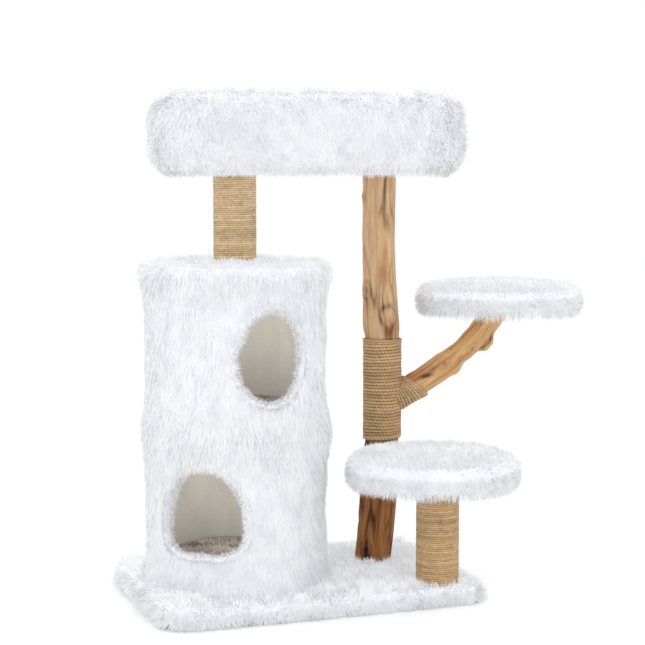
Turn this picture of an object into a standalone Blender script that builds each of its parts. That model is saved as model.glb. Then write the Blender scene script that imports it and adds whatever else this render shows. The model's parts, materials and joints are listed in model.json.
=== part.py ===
"""Cat tree: a plush base, a two-storey round condo, a rope post and a natural trunk that carry an
oval bed, a branch with a round platform, and a short rope post with a second round platform.

Metres, +Z up. The origin is the middle of the base's underside, on the floor. The base is long in X,
and its front faces -Y. Every piece is one closed solid with a small gap to its neighbours."""

import math

import bmesh
import bpy
import numpy as np
from mathutils import Vector

# Fits
GAP = 0.0003                # air between two pieces that touch
FABRIC_FIT = 0.0008         # air between a fabric cover and what it covers
ROPE_FIT = 0.0010           # air between an uneven branch and the rope wound on it

# Stock
PLUSH = 0.004               # backing and dense root of the long pile
LINING = 0.0015
SHEET = 0.003               # non-woven sheet and turned-under hems
HEM = 0.030                 # how far a cover is turned in under its board
BOARD = 0.012               # condo, bed and platform boards
ROPE = 0.005                # thickness of the wound rope
FOAM = 0.016                # padding on the platforms
MAT = 0.026                 # loose mat on each condo floor
CUSHION = 0.040

# Base
BASE_LENGTH, BASE_WIDTH, BASE_CORNER = 0.604, 0.402, 0.045
BASE_BOARD = 0.020

# Condo: a round barrel on three boards
CONDO = (-0.117, 0.012)
CONDO_BOARD_RADIUS = 0.164
CONDO_WAIST = 0.003         # how much smaller the tubes are than the boards
CONDO_WALL = 0.003
LOWER_STOREY, UPPER_STOREY = 0.279, 0.286
MAT_FIT = 0.003

# Doorways: turn from the front towards +X, half width, half height, centre above its storey's floor,
# how square the lower half is, and how much narrower the top is
LOWER_DOOR = dict(turn=-38.5, wide=0.0690, high=0.0765, rise=0.152, square=3.2, taper=0.13)
UPPER_DOOR = dict(turn=6.0, wide=0.0590, high=0.0810, rise=0.142, square=2.0, taper=0.04)
DOOR_RIM = 0.0120           # fabric folded into the doorway
DOOR_POINTS = 28

# Rope posts
POST_RADIUS = 0.041         # over the rope
POST_CORE_WALL = 0.005
PLUG = 0.022
TALL_POST_LENGTH = 0.165
SHORT_POST_LENGTH = 0.201
SHORT_POST = (0.230, -0.150)

# Trunk and branch
TRUNK = (0.197, 0.050)      # centre line inside the rope wrap
TRUNK_RADIUS = 0.0325
TRUNK_SPLIT = 0.300         # height of the joint between the two trunk pieces
WRAP_BOTTOM, WRAP_TOP = 0.277, 0.477
BRANCH_ROOT_HEIGHT = 0.340
BRANCH_RADIUS = 0.0218
STUB_SHARE, STUB_TURN = 0.805, math.radians(275)
STUB_HEIGHT, STUB_SPREAD = 0.0125, 0.0150
COLLAR_LENGTH = 0.084       # measured along the branch from the trunk's centre line

# Round platforms
PLATFORM_RADIUS = 0.150     # of the board
PLATFORM_EDGE = 0.009       # rounding of the cover's edge
LOWER_PLATFORM = (0.220, -0.150)
UPPER_PLATFORM = (0.436, 0.020)
UPPER_PLATFORM_HEIGHT = 0.535
BRANCH_TIP_INSET = 0.005    # the branch meets the platform this far left of its centre

# Oval bed
BED = (0.040, 0.040)
BED_LENGTH, BED_WIDTH, BED_HEIGHT = 0.596, 0.412, 0.147
BED_POWER = 2.35            # 2 is an ellipse, more is squarer
BED_RIM = 0.075             # thickness of the bolster and its cover
BED_ROUND = 0.040
BED_BOARD_INSET = 0.044
BED_COVER = 0.003

# Hardware
BOLT_RADIUS, BOLT_HEAD_RADIUS, BOLT_HEAD, BOLT_GRIP = 0.0040, 0.0080, 0.0045, 0.026
WASHER_RADIUS, WASHER = 0.0110, 0.0015
BORE_FIT = 0.0003
COUNTERBORE_RADIUS, COUNTERBORE = 0.0125, 0.0070
SCREW_RADIUS, SCREW_HEAD_RADIUS, SCREW_HEAD = 0.0022, 0.0045, 0.0030
SCREW_CIRCLE = 0.110        # radius of the circle of condo screws
STUD_RADIUS, STUD_LENGTH = 0.0050, 0.060
LAG_RADIUS, LAG_HEAD_RADIUS, LAG_HEAD = 0.0030, 0.0060, 0.0040

ROUND_STEPS, POST_STEPS, BOLT_STEPS, OVAL_STEPS, WOOD_STEPS = 36, 24, 12, 36, 18

MATERIALS = {               # colour, roughness, metallic
    "plush": ((0.86, 0.87, 0.89), 0.95, 0.0),
    "lining": ((0.46, 0.42, 0.37), 0.95, 0.0),
    "mat": ((0.52, 0.47, 0.40), 0.95, 0.0),
    "sheet": ((0.10, 0.10, 0.10), 0.90, 0.0),
    "board": ((0.52, 0.38, 0.24), 0.80, 0.0),
    "cardboard": ((0.42, 0.30, 0.19), 0.90, 0.0),
    "rope": ((0.62, 0.43, 0.24), 0.90, 0.0),
    "wood": ((0.52, 0.32, 0.16), 0.60, 0.0),
    "dark_wood": ((0.25, 0.13, 0.06), 0.70, 0.0),
    "foam": ((0.85, 0.83, 0.72), 0.90, 0.0),
    "steel": ((0.60, 0.61, 0.62), 0.35, 1.0),
}


# ---------------------------------------------------------------- making solids

def material(name):
    found = bpy.data.materials.get(name)
    if found:
        return found
    colour, roughness, metallic = MATERIALS[name]
    made = bpy.data.materials.new(name)
    made.use_nodes = True
    shader = made.node_tree.nodes["Principled BSDF"]
    shader.inputs["Base Color"].default_value = (*colour, 1.0)
    shader.inputs["Roughness"].default_value = roughness
    shader.inputs["Metallic"].default_value = metallic
    made.diffuse_color = (*colour, 1.0)
    return made


def loft(name, rings, finish, closed=False):
    """A solid skinned over rings of points. An open stack is capped at both ends, and a closed one
    joins its last ring to its first."""
    mesh = bpy.data.meshes.new(name)
    work = bmesh.new()
    loops = [[work.verts.new(point) for point in ring] for ring in rings]
    pairs = list(zip(loops, loops[1:])) + ([(loops[-1], loops[0])] if closed else [])
    for lower, upper in pairs:
        count = len(lower)
        for i in range(count):
            j = (i + 1) % count
            work.faces.new((lower[i], lower[j], upper[j], upper[i]))
    if not closed:
        work.faces.new(loops[0][::-1])
        work.faces.new(loops[-1])
    bmesh.ops.recalc_face_normals(work, faces=work.faces)
    if work.calc_volume(signed=True) < 0:
        bmesh.ops.reverse_faces(work, faces=work.faces)
    work.to_mesh(mesh)
    work.free()
    mesh.shade_smooth()
    mesh.set_sharp_from_angle(angle=math.radians(35))
    made = bpy.data.objects.new(name, mesh)
    made.data.materials.append(material(finish))
    bpy.context.scene.collection.objects.link(made)
    return made


def circle(centre, radius, z, steps):
    turns = [2 * math.pi * i / steps for i in range(steps)]
    return [Vector((centre[0] + radius * math.cos(t), centre[1] + radius * math.sin(t), z))
            for t in turns]


def turned(name, centre, profile, finish, steps, closed=False):
    """profile is a list of (radius, z)."""
    rings = [circle(centre, radius, z, steps) for radius, z in profile]
    return loft(name, rings, finish, closed)


def disc(name, centre, radius, z, thickness, finish, steps=ROUND_STEPS):
    return turned(name, centre, [(radius, z), (radius, z + thickness)], finish, steps)


def tube(name, centre, outer, wall, z, length, finish, steps):
    inner = outer - wall
    profile = [(inner, z), (outer, z), (outer, z + length), (inner, z + length)]
    return turned(name, centre, profile, finish, steps, closed=True)


def rounded_rectangle(length, width, radius, z, inset=0.0, corner_steps=5):
    radius = max(radius - inset, 0.002)
    points = []
    for quarter, (sx, sy) in enumerate(((1, 1), (-1, 1), (-1, -1), (1, -1))):
        x = sx * (length / 2 - inset - radius)
        y = sy * (width / 2 - inset - radius)
        for step in range(corner_steps + 1):
            turn = math.pi / 2 * (quarter + step / corner_steps)
            points.append(Vector((x + radius * math.cos(turn), y + radius * math.sin(turn), z)))
    return points


def oval(inset, z):
    """The bed's outline, moved in by inset."""
    half_length, half_width = BED_LENGTH / 2 - inset, BED_WIDTH / 2 - inset
    points = []
    for step in range(OVAL_STEPS):
        turn = 2 * math.pi * step / OVAL_STEPS
        c, s = math.cos(turn), math.sin(turn)
        x = math.copysign(abs(c) ** (2 / BED_POWER), c) * half_length
        y = math.copysign(abs(s) ** (2 / BED_POWER), s) * half_width
        points.append(Vector((BED[0] + x, BED[1] + y, z)))
    return points


def arc(centre, across, up, start, end, steps):
    """Points (a, z) on a quarter or half of an ellipse, angles in degrees from +a to +z."""
    turns = [math.radians(start + (end - start) * i / steps) for i in range(steps + 1)]
    return [(centre[0] + across * math.cos(t), centre[1] + up * math.sin(t)) for t in turns]


def cutter(made):
    made.hide_render = True
    made.display_type = "WIRE"
    return made


def boolean(target, other, operation="DIFFERENCE"):
    modifier = target.modifiers.new(other.name, "BOOLEAN")
    modifier.operation = operation
    modifier.object = other


# ---------------------------------------------------------------- heights, from the floor up

BASE_BOARD_Z = SHEET + GAP
BASE_COVER_Z = BASE_BOARD_Z + BASE_BOARD + GAP
BASE_TOP = BASE_COVER_Z + PLUSH
FLOOR_BOARD_Z = BASE_TOP + GAP
LOWER_WALL_Z = FLOOR_BOARD_Z + BOARD + GAP
MID_BOARD_Z = LOWER_WALL_Z + LOWER_STOREY + GAP
UPPER_WALL_Z = MID_BOARD_Z + BOARD + GAP
TOP_BOARD_Z = UPPER_WALL_Z + UPPER_STOREY + GAP
TOP_PLUSH_Z = TOP_BOARD_Z + BOARD + GAP
TALL_POST_Z = TOP_PLUSH_Z + PLUSH + GAP
BED_Z = TALL_POST_Z + TALL_POST_LENGTH + GAP
BED_BOARD_Z = BED_Z + BED_COVER + GAP
BED_TOP = BED_Z + BED_HEIGHT
SHORT_POST_Z = BASE_TOP + GAP
LOWER_PLATFORM_Z = SHORT_POST_Z + SHORT_POST_LENGTH + GAP
TRUNK_Z = BASE_TOP + GAP
TRUNK_TOP = BED_Z - GAP


# ---------------------------------------------------------------- base

def base():
    """A board with a plush cover turned in under it, and a sheet that closes the underside."""
    def ring(inset, z):
        return rounded_rectangle(BASE_LENGTH, BASE_WIDTH, BASE_CORNER, z, inset)
    side = PLUSH + FABRIC_FIT
    edge = 0.004
    board = loft("base_board", [ring(side, BASE_BOARD_Z), ring(side, BASE_BOARD_Z + BASE_BOARD)], "board")
    cover = loft("base_plush_cover", [
        ring(edge, BASE_TOP), ring(0, BASE_TOP - edge), ring(0, edge / 2), ring(edge / 2, 0),
        ring(side + HEM, 0), ring(side + HEM, SHEET), ring(PLUSH, SHEET), ring(PLUSH, BASE_COVER_Z),
    ], "plush")
    inset = side + HEM + FABRIC_FIT
    sheet = loft("base_underside_sheet", [ring(inset, 0), ring(inset, SHEET)], "sheet")
    return board, cover, sheet


# ---------------------------------------------------------------- condo

def door_outline(door, grow=0.0):
    """(across, up) points round a doorway, seen from outside."""
    points = []
    for step in range(DOOR_POINTS):
        turn = 2 * math.pi * step / DOOR_POINTS
        c, s = math.cos(turn), math.sin(turn)
        power = 2.0 if s >= 0 else door["square"]
        across = math.copysign(abs(c) ** (2 / power), c) * (door["wide"] + grow)
        up = math.copysign(abs(s) ** (2 / power), s) * (door["high"] + grow)
        points.append((across * (1 - door["taper"] * s), up))
    return points


def door_frame(door, wall_z):
    turn = math.radians(door["turn"])
    outward = Vector((math.sin(turn), -math.cos(turn), 0))
    side = Vector((math.cos(turn), math.sin(turn), 0))
    middle = Vector((*CONDO, wall_z + door["rise"]))
    return outward, side, middle


def door_prism(name, door, wall_z, grow, finish="plush", inner_grow=None):
    """A bar through one side of the wall in the doorway's shape, or with inner_grow a frame."""
    outward, side, middle = door_frame(door, wall_z)
    near, far = CONDO_BOARD_RADIUS * 0.55, CONDO_BOARD_RADIUS * 1.25

    def ring(depth, by):
        return [middle + outward * depth + side * a + Vector((0, 0, u)) for a, u in door_outline(door, by)]
    if inner_grow is None:
        return cutter(loft(name, [ring(near, grow), ring(far, grow)], finish))
    rings = [ring(near, inner_grow), ring(far, inner_grow), ring(far, grow), ring(near, grow)]
    return loft(name, rings, finish, closed=True)


def sleeve_profile(inner_offset, z0, z1, snug_low, snug_high):
    """The plush sleeve's radius: tight over the boards at the ends named, drawn in between them."""
    over_board = CONDO_BOARD_RADIUS + FABRIC_FIT + inner_offset
    drawn_in = over_board - CONDO_WAIST
    step = BOARD + 0.010
    low = [(over_board, z0), (over_board, z0 + snug_low)]
    high = [(over_board, z1 - snug_high), (over_board, z1)]
    middle = [(drawn_in, z0 + snug_low + step), (drawn_in, z1 - snug_high - step)]
    return low + middle + high


def sleeve(name, z0, z1, snug_low, snug_high):
    inner = sleeve_profile(0.0, z0, z1, snug_low, snug_high)
    outer = sleeve_profile(PLUSH, z0, z1, snug_low, snug_high)
    return turned(name, CONDO, outer + inner[::-1], "plush", ROUND_STEPS, closed=True)


def storey(name, door, wall_z, height, sleeve_z0, sleeve_z1, snug_low, snug_high):
    """One floor of the barrel: wall, lining, plush sleeve, doorway rim and mat."""
    wall_radius = CONDO_BOARD_RADIUS - CONDO_WAIST
    wall = tube(f"{name}_condo_wall", CONDO, wall_radius, CONDO_WALL, wall_z, height,
                "cardboard", ROUND_STEPS)
    lining_radius = wall_radius - CONDO_WALL - GAP
    lining = tube(f"{name}_condo_lining", CONDO, lining_radius, LINING, wall_z, height,
                  "lining", ROUND_STEPS)
    plush = sleeve(f"{name}_condo_plush", sleeve_z0, sleeve_z1, snug_low, snug_high)
    hole = door_prism(f"{name}_door_cutter", door, wall_z, DOOR_RIM)
    for piece in (wall, lining, plush):
        boolean(piece, hole)
    rim = door_prism(f"{name}_door_rim", door, wall_z, DOOR_RIM - GAP, "plush", 0.0)
    shell = CONDO_WALL + PLUSH + 0.006
    band = cutter(tube(f"{name}_rim_band", CONDO, CONDO_BOARD_RADIUS + PLUSH + 0.001, shell,
                       wall_z - 0.001, height + 0.002, "plush", ROUND_STEPS))
    boolean(rim, band, "INTERSECT")
    mat_radius = lining_radius - LINING - MAT_FIT
    edge = MAT * 0.3
    mat_z = wall_z + GAP
    turned(f"{name}_den_mat", CONDO, [(mat_radius, mat_z), (mat_radius, mat_z + MAT - edge),
                                      (mat_radius - edge, mat_z + MAT)], "mat", ROUND_STEPS)


def condo():
    floor = disc("condo_floor_board", CONDO, CONDO_BOARD_RADIUS, FLOOR_BOARD_Z, BOARD, "board")
    disc("condo_mid_board", CONDO, CONDO_BOARD_RADIUS, MID_BOARD_Z, BOARD, "board")
    top = disc("condo_top_board", CONDO, CONDO_BOARD_RADIUS, TOP_BOARD_Z, BOARD, "board")
    seam = MID_BOARD_Z + BOARD / 2
    half = BOARD / 2
    storey("lower", LOWER_DOOR, LOWER_WALL_Z, LOWER_STOREY, FLOOR_BOARD_Z, seam - GAP / 2, BOARD, half)
    storey("upper", UPPER_DOOR, UPPER_WALL_Z, UPPER_STOREY, seam + GAP / 2, TOP_PLUSH_Z - GAP, half, BOARD)
    over = CONDO_BOARD_RADIUS + FABRIC_FIT + PLUSH
    edge = 0.006
    plush = turned("condo_top_plush", CONDO, [(over, TOP_PLUSH_Z), (over - 0.001, TOP_PLUSH_Z + 0.001),
                                              (over - edge, TOP_PLUSH_Z + PLUSH)], "plush", ROUND_STEPS)
    return floor, top, plush


# ---------------------------------------------------------------- posts

def post(name, centre, z, length):
    """A cardboard core wound with rope, with a wooden plug in each end."""
    core_radius = POST_RADIUS - ROPE - GAP
    tube(f"{name}_post_rope", centre, POST_RADIUS, ROPE, z, length, "rope", POST_STEPS)
    tube(f"{name}_post_core", centre, core_radius, POST_CORE_WALL, z, length, "cardboard", POST_STEPS)
    plug_radius = core_radius - POST_CORE_WALL - GAP
    low = disc(f"{name}_post_bottom_plug", centre, plug_radius, z, PLUG, "board", POST_STEPS)
    high = disc(f"{name}_post_top_plug", centre, plug_radius, z + length - PLUG, PLUG, "board", POST_STEPS)
    return low, high


# ---------------------------------------------------------------- trunk and branch

def trunk_centre(z):
    """The trunk is straight inside the rope wrap, and drifts to the left above and below it."""
    below = max(0.0, WRAP_BOTTOM - z)
    above = max(0.0, z - WRAP_TOP)
    drift = 0.075 * below + 0.006 * (1 - math.exp(-above / 0.05)) + 0.008 * above
    return TRUNK[0] - drift, TRUNK[1]


def trunk_radius(z, turn, grow=0.0):
    """Round inside the rope wrap. Outside it the bark waves a little, and it is thicker just above
    the wrap and below it."""
    below = max(0.0, WRAP_BOTTOM - z)
    above = max(0.0, z - WRAP_TOP)
    bare = min(1.0, (below + above) / 0.03)
    waves = 0.0012 * math.sin(2 * turn + 17 * z) + 0.0008 * math.sin(3 * turn - 29 * z)
    swell = 0.0032 * min(1.0, below / 0.03) + 0.0030 * min(1.0, above / 0.02) * math.exp(-above / 0.06)
    return TRUNK_RADIUS + bare * waves + swell + grow


def knot(z, turn, at_z, at_turn, height, spread):
    """A rounded bump on the bark."""
    around = math.atan2(math.sin(turn - at_turn), math.cos(turn - at_turn)) * TRUNK_RADIUS
    return height * math.exp(-((z - at_z) ** 2 + around ** 2) / spread ** 2)


def trunk_ring(z, grow=0.0):
    x, y = trunk_centre(z)
    ring = []
    for step in range(WOOD_STEPS):
        turn = 2 * math.pi * step / WOOD_STEPS
        radius = trunk_radius(z, turn, grow)
        radius += knot(z, turn, 0.757, math.radians(192), 0.004, 0.012)
        radius += knot(z, turn, 0.573, math.radians(197), 0.005, 0.016)
        radius += knot(z, turn, 0.521, math.radians(274), 0.004, 0.022)
        radius += knot(z, turn, 0.157, math.radians(200), 0.004, 0.015)
        ring.append(Vector((x + radius * math.cos(turn), y + radius * math.sin(turn), z)))
    return ring


def trunk_heights(z0, z1, step=0.030):
    """Even steps that also stop at the ends of the rope wrap, where the bark starts to wave."""
    stops = [z0] + [z for z in (WRAP_BOTTOM, WRAP_TOP) if z0 < z < z1] + [z1]
    heights = [z0]
    for low, high in zip(stops, stops[1:]):
        count = max(1, round((high - low) / step))
        heights += [low + (high - low) * (i + 1) / count for i in range(count)]
    return heights


def trunk_piece(name, z0, z1, finish):
    return loft(name, [trunk_ring(z) for z in trunk_heights(z0, z1)], finish)


def branch_path(t):
    """A cubic curve from the trunk's centre line to the underside of the upper platform."""
    root = Vector((*TRUNK, BRANCH_ROOT_HEIGHT))
    tip = Vector((UPPER_PLATFORM[0] - BRANCH_TIP_INSET, UPPER_PLATFORM[1], UPPER_PLATFORM_HEIGHT - GAP))
    reach = tip - root
    first = root + Vector((reach.x * 0.30, reach.y * 0.30, reach.z * 0.26))
    second = tip - Vector((reach.x * 0.27, reach.y * 0.27, reach.z * 0.56))
    a, b = (1 - t), t
    point = root * a ** 3 + first * 3 * a * a * b + second * 3 * a * b * b + tip * b ** 3
    along = (first - root) * 3 * a * a + (second - first) * 6 * a * b + (tip - second) * 3 * b * b
    return point, along.normalized()


def branch_radius(t):
    """Thick up to where a twig was cut off, thinner past it and swelling again under the platform."""
    before_twig = 1 / (1 + math.exp((t - 0.60) / 0.02))
    return BRANCH_RADIUS + 0.0040 * before_twig + 0.0040 * max(0.0, (t - 0.7) / 0.3)


def branch_stub(t, turn):
    """The stub of a second twig, low on the branch under the platform."""
    around = math.atan2(math.sin(turn - STUB_TURN), math.cos(turn - STUB_TURN)) * BRANCH_RADIUS
    along = (t - STUB_SHARE) * 0.31
    return STUB_HEIGHT * math.exp(-((along ** 2 + around ** 2) / STUB_SPREAD ** 2) ** 1.5)


def branch_ring(t, grow=0.0, steps=20, flat_z=None):
    point, along = branch_path(t)
    side = along.cross(Vector((0, 0, 1))).normalized()
    over = side.cross(along).normalized()
    ring = []
    for step in range(steps):
        turn = 2 * math.pi * step / steps
        radius = branch_radius(t) + branch_stub(t, turn) + grow
        place = point + (side * math.cos(turn) + over * math.sin(turn)) * radius
        if flat_z is not None:
            place += along * ((flat_z - place.z) / along.z)
        ring.append(place)
    return ring


def branch_share(distance):
    """The curve value at a distance along the branch from the trunk's centre line."""
    walked, t, last = 0.0, 0.0, branch_path(0.0)[0]
    while walked < distance and t < 1.0:
        t += 0.005
        here = branch_path(t)[0]
        walked += (here - last).length
        last = here
    return t


def branch_piece(name, grow=0.0, rings=24):
    """The whole branch, from inside the trunk to the flat cut under the platform."""
    end = 0.92
    stack = [branch_ring(end * i / rings, grow) for i in range(rings)]
    stack.append(branch_ring(end, grow, flat_z=UPPER_PLATFORM_HEIGHT - GAP))
    return loft(name, stack, "wood")


def rope_wrap():
    """Rope wound over the trunk's joint and over the foot of the branch."""
    heights = trunk_heights(WRAP_BOTTOM, WRAP_TOP)
    inner = [trunk_ring(z, ROPE_FIT) for z in heights]
    outer = [trunk_ring(z, ROPE_FIT + ROPE) for z in heights]
    wrap = loft("trunk_rope_wrap", outer + inner[::-1], "rope", closed=True)
    end = branch_share(COLLAR_LENGTH)
    shares = [end * i / 6 for i in range(7)]
    inner = [branch_ring(t, ROPE_FIT) for t in shares]
    outer = [branch_ring(t, ROPE_FIT + ROPE) for t in shares]
    collar = loft("branch_rope_collar", outer + inner[::-1], "rope", closed=True)
    return wrap, collar


def trunk_and_branch():
    lower = trunk_piece("lower_trunk", TRUNK_Z, TRUNK_SPLIT, "dark_wood")
    upper = trunk_piece("upper_trunk", TRUNK_SPLIT + GAP, TRUNK_TOP, "wood")
    branch = branch_piece("branch")
    wrap, collar = rope_wrap()
    heights = trunk_heights(WRAP_BOTTOM - 0.03, WRAP_TOP + 0.03)
    boolean(branch, cutter(loft("trunk_room", [trunk_ring(z, GAP) for z in heights], "wood")))
    boolean(wrap, cutter(branch_piece("branch_room", ROPE_FIT)))
    past_wrap = ROPE_FIT + ROPE + GAP
    boolean(collar, cutter(loft("wrap_room", [trunk_ring(z, past_wrap) for z in heights], "rope")))
    return lower, upper, branch


# ---------------------------------------------------------------- bed

def bed():
    """A board under a padded oval rim, with a cover over both and a cushion in the middle."""
    board_top = BED_BOARD_Z + BOARD
    board = loft("bed_board", [oval(BED_BOARD_INSET, BED_BOARD_Z), oval(BED_BOARD_INSET, board_top)], "board")
    crown_z = BED_TOP - BED_ROUND
    half_rim = BED_RIM / 2
    inner_hem = board_top + 2 * GAP
    skin = BED_COVER
    outside = arc((BED_ROUND, BED_Z + BED_ROUND), -BED_ROUND, -BED_ROUND, 90, 0, 3)
    outside += arc((half_rim, crown_z), -half_rim, BED_ROUND, 0, 180, 6)
    outside.append((BED_RIM, inner_hem))
    inside = [(BED_RIM - skin, inner_hem)]
    inside += arc((half_rim, crown_z), -(half_rim - skin), BED_ROUND - skin, 180, 0, 6)
    inside += arc((BED_ROUND, BED_Z + BED_ROUND), skin - BED_ROUND, skin - BED_ROUND, 0, 90, 3)
    cover = loft("bed_plush_cover", [oval(inset, z) for inset, z in outside + inside], "plush")
    fill = skin + FABRIC_FIT
    beside_board = BED_BOARD_INSET - FABRIC_FIT
    core = arc((half_rim, crown_z), -(half_rim - fill), BED_ROUND - fill, 0, 180, 6)
    core += [(BED_RIM - fill, inner_hem), (beside_board, inner_hem), (beside_board, BED_Z + fill)]
    core += arc((BED_ROUND, BED_Z + BED_ROUND), fill - BED_ROUND, fill - BED_ROUND, 90, 0, 3)
    loft("bed_bolster", [oval(inset, z) for inset, z in core], "foam", closed=True)
    side = BED_RIM + 0.003
    base_z, top_z = board_top + GAP, board_top + GAP + CUSHION
    loft("bed_cushion", [oval(side + 0.004, base_z), oval(side, base_z + 0.006),
                         oval(side, top_z - 0.014), oval(side + 0.014, top_z)], "mat")
    return board, cover


# ---------------------------------------------------------------- round platforms

def platform(name, centre, z):
    """A board with foam and a plush cover turned in under it, and a disc that closes the underside."""
    board_z = z + SHEET + GAP
    foam_z = board_z + BOARD + GAP
    cover_z = foam_z + FOAM + GAP
    outer = PLATFORM_RADIUS + FABRIC_FIT + PLUSH
    hem = PLATFORM_RADIUS - HEM
    board = disc(f"{name}_platform_board", centre, PLATFORM_RADIUS, board_z, BOARD, "board")
    edge = PLATFORM_EDGE
    turned(f"{name}_platform_pad", centre, [
        (PLATFORM_RADIUS - 0.001, foam_z), (PLATFORM_RADIUS - edge, cover_z - GAP)], "foam", ROUND_STEPS)
    top = cover_z + PLUSH
    turned(f"{name}_platform_cover", centre, [
        (outer - edge, top), (outer - edge * 0.3, top - edge * 0.3), (outer, top - edge),
        (outer, z + 0.003), (outer - 0.003, z), (hem, z), (hem, z + SHEET),
        (PLATFORM_RADIUS + FABRIC_FIT, z + SHEET), (PLATFORM_RADIUS + FABRIC_FIT, foam_z + GAP),
        (PLATFORM_RADIUS - edge + 0.004, cover_z)], "plush", ROUND_STEPS)
    liner = disc(f"{name}_platform_underside", centre, hem - FABRIC_FIT, z, SHEET, "plush")
    return board, liner


# ---------------------------------------------------------------- hardware

def bore(name, pieces, centre, z0, z1, radius):
    hole = cutter(disc(name, centre, radius, z0, z1 - z0, "steel", BOLT_STEPS))
    for piece in pieces:
        boolean(piece, hole)


def bolt(name, centre, seat, up, length, washer=True):
    """A bolt whose washer sits on seat. Its shank runs up (+1) or down (-1)."""
    stack = (WASHER + GAP) if washer else 0.0
    under_head = seat - up * (stack + GAP)
    end = under_head + up * length
    head = under_head - up * BOLT_HEAD
    chamfer = 0.001
    turned(f"{name}_bolt", centre, [
        (BOLT_HEAD_RADIUS - chamfer, head), (BOLT_HEAD_RADIUS, head + up * chamfer),
        (BOLT_HEAD_RADIUS, under_head), (BOLT_RADIUS, under_head),
        (BOLT_RADIUS, end - up * chamfer), (BOLT_RADIUS - chamfer, end)], "steel", BOLT_STEPS)
    if washer:
        low = seat - up * GAP - (WASHER if up > 0 else 0.0)
        tube(f"{name}_washer", centre, WASHER_RADIUS, WASHER_RADIUS - BOLT_RADIUS - GAP, low, WASHER,
             "steel", BOLT_STEPS)
    return end


def bolted(name, centre, board, board_z, thickness, up, through, into, washer=True):
    """A bolt in a counterbore of a board, through what lies beyond it and into a plug or wood."""
    if up > 0:
        mouth, seat = board_z, board_z + COUNTERBORE
    else:
        mouth, seat = board_z + thickness, board_z + thickness - COUNTERBORE
    bore(f"{name}_counterbore", [board], centre, *sorted((mouth - up * 0.002, seat)), COUNTERBORE_RADIUS)
    beyond = thickness - COUNTERBORE
    end = bolt(name, centre, seat, up, beyond + BOLT_GRIP, washer)
    low, high = sorted((seat - up * 0.001, end + up * 0.001))
    bore(f"{name}_bore", [board, *through, into], centre, low, high, BOLT_RADIUS + BORE_FIT)


def condo_screws(base_board, base_cover, floor_board):
    """Wood screws from under the base board into the condo's floor board, evenly round a circle."""
    for number in range(3):
        turn = math.radians(90 + 120 * number)
        centre = (CONDO[0] + SCREW_CIRCLE * math.cos(turn), CONDO[1] + SCREW_CIRCLE * math.sin(turn))
        seat = BASE_BOARD_Z + SCREW_HEAD + 0.001
        end = FLOOR_BOARD_Z + BOARD * 0.8
        turned(f"condo_screw_{number + 1}", centre, [
            (SCREW_HEAD_RADIUS, seat - SCREW_HEAD), (SCREW_RADIUS, seat), (SCREW_RADIUS, end - 0.003),
            (SCREW_RADIUS * 0.4, end)], "steel", BOLT_STEPS)
        bore(f"screw_bore_{number + 1}", [base_board, base_cover, floor_board], centre,
             seat - 0.0005, end + 0.001, SCREW_RADIUS + BORE_FIT)
        bore(f"screw_sink_{number + 1}", [base_board], centre, BASE_BOARD_Z - 0.002, seat + GAP,
             SCREW_HEAD_RADIUS + BORE_FIT)


def stud(lower_trunk, upper_trunk):
    """A threaded stud that joins the two trunk pieces."""
    z = TRUNK_SPLIT - STUD_LENGTH / 2
    disc("trunk_joint_stud", TRUNK, STUD_RADIUS, z, STUD_LENGTH, "steel", BOLT_STEPS)
    bore("stud_bore", [lower_trunk, upper_trunk], TRUNK, z - 0.001, z + STUD_LENGTH + 0.001,
         STUD_RADIUS + BORE_FIT)


def rod_ring(start, along, distance, radius):
    side = along.cross(Vector((0, 0, 1))).normalized()
    over = side.cross(along).normalized()
    middle = start + along * distance
    turns = [2 * math.pi * i / BOLT_STEPS for i in range(BOLT_STEPS)]
    return [middle + (side * math.cos(t) + over * math.sin(t)) * radius for t in turns]


def branch_lag_screw(upper_trunk, branch):
    """A lag screw through the trunk into the branch. The rope wrap hides its sunk head."""
    root, along = branch_path(0.02)
    seat = TRUNK_RADIUS * -0.70
    end = TRUNK_RADIUS + 0.040
    loft("branch_lag_screw", [rod_ring(root, along, seat - LAG_HEAD, LAG_HEAD_RADIUS),
                              rod_ring(root, along, seat, LAG_HEAD_RADIUS),
                              rod_ring(root, along, seat, LAG_RADIUS),
                              rod_ring(root, along, end - 0.004, LAG_RADIUS),
                              rod_ring(root, along, end, LAG_RADIUS * 0.4)], "steel")
    hole = cutter(loft("lag_bore", [rod_ring(root, along, seat - 0.001, LAG_RADIUS + BORE_FIT),
                                    rod_ring(root, along, end + 0.001, LAG_RADIUS + BORE_FIT)], "steel"))
    sink = cutter(loft("lag_sink", [rod_ring(root, along, -2 * TRUNK_RADIUS, LAG_HEAD_RADIUS + BORE_FIT),
                                    rod_ring(root, along, seat + GAP, LAG_HEAD_RADIUS + BORE_FIT)], "steel"))
    boolean(upper_trunk, hole)
    boolean(upper_trunk, sink)
    boolean(branch, hole)


# ---------------------------------------------------------------- assembly

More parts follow.
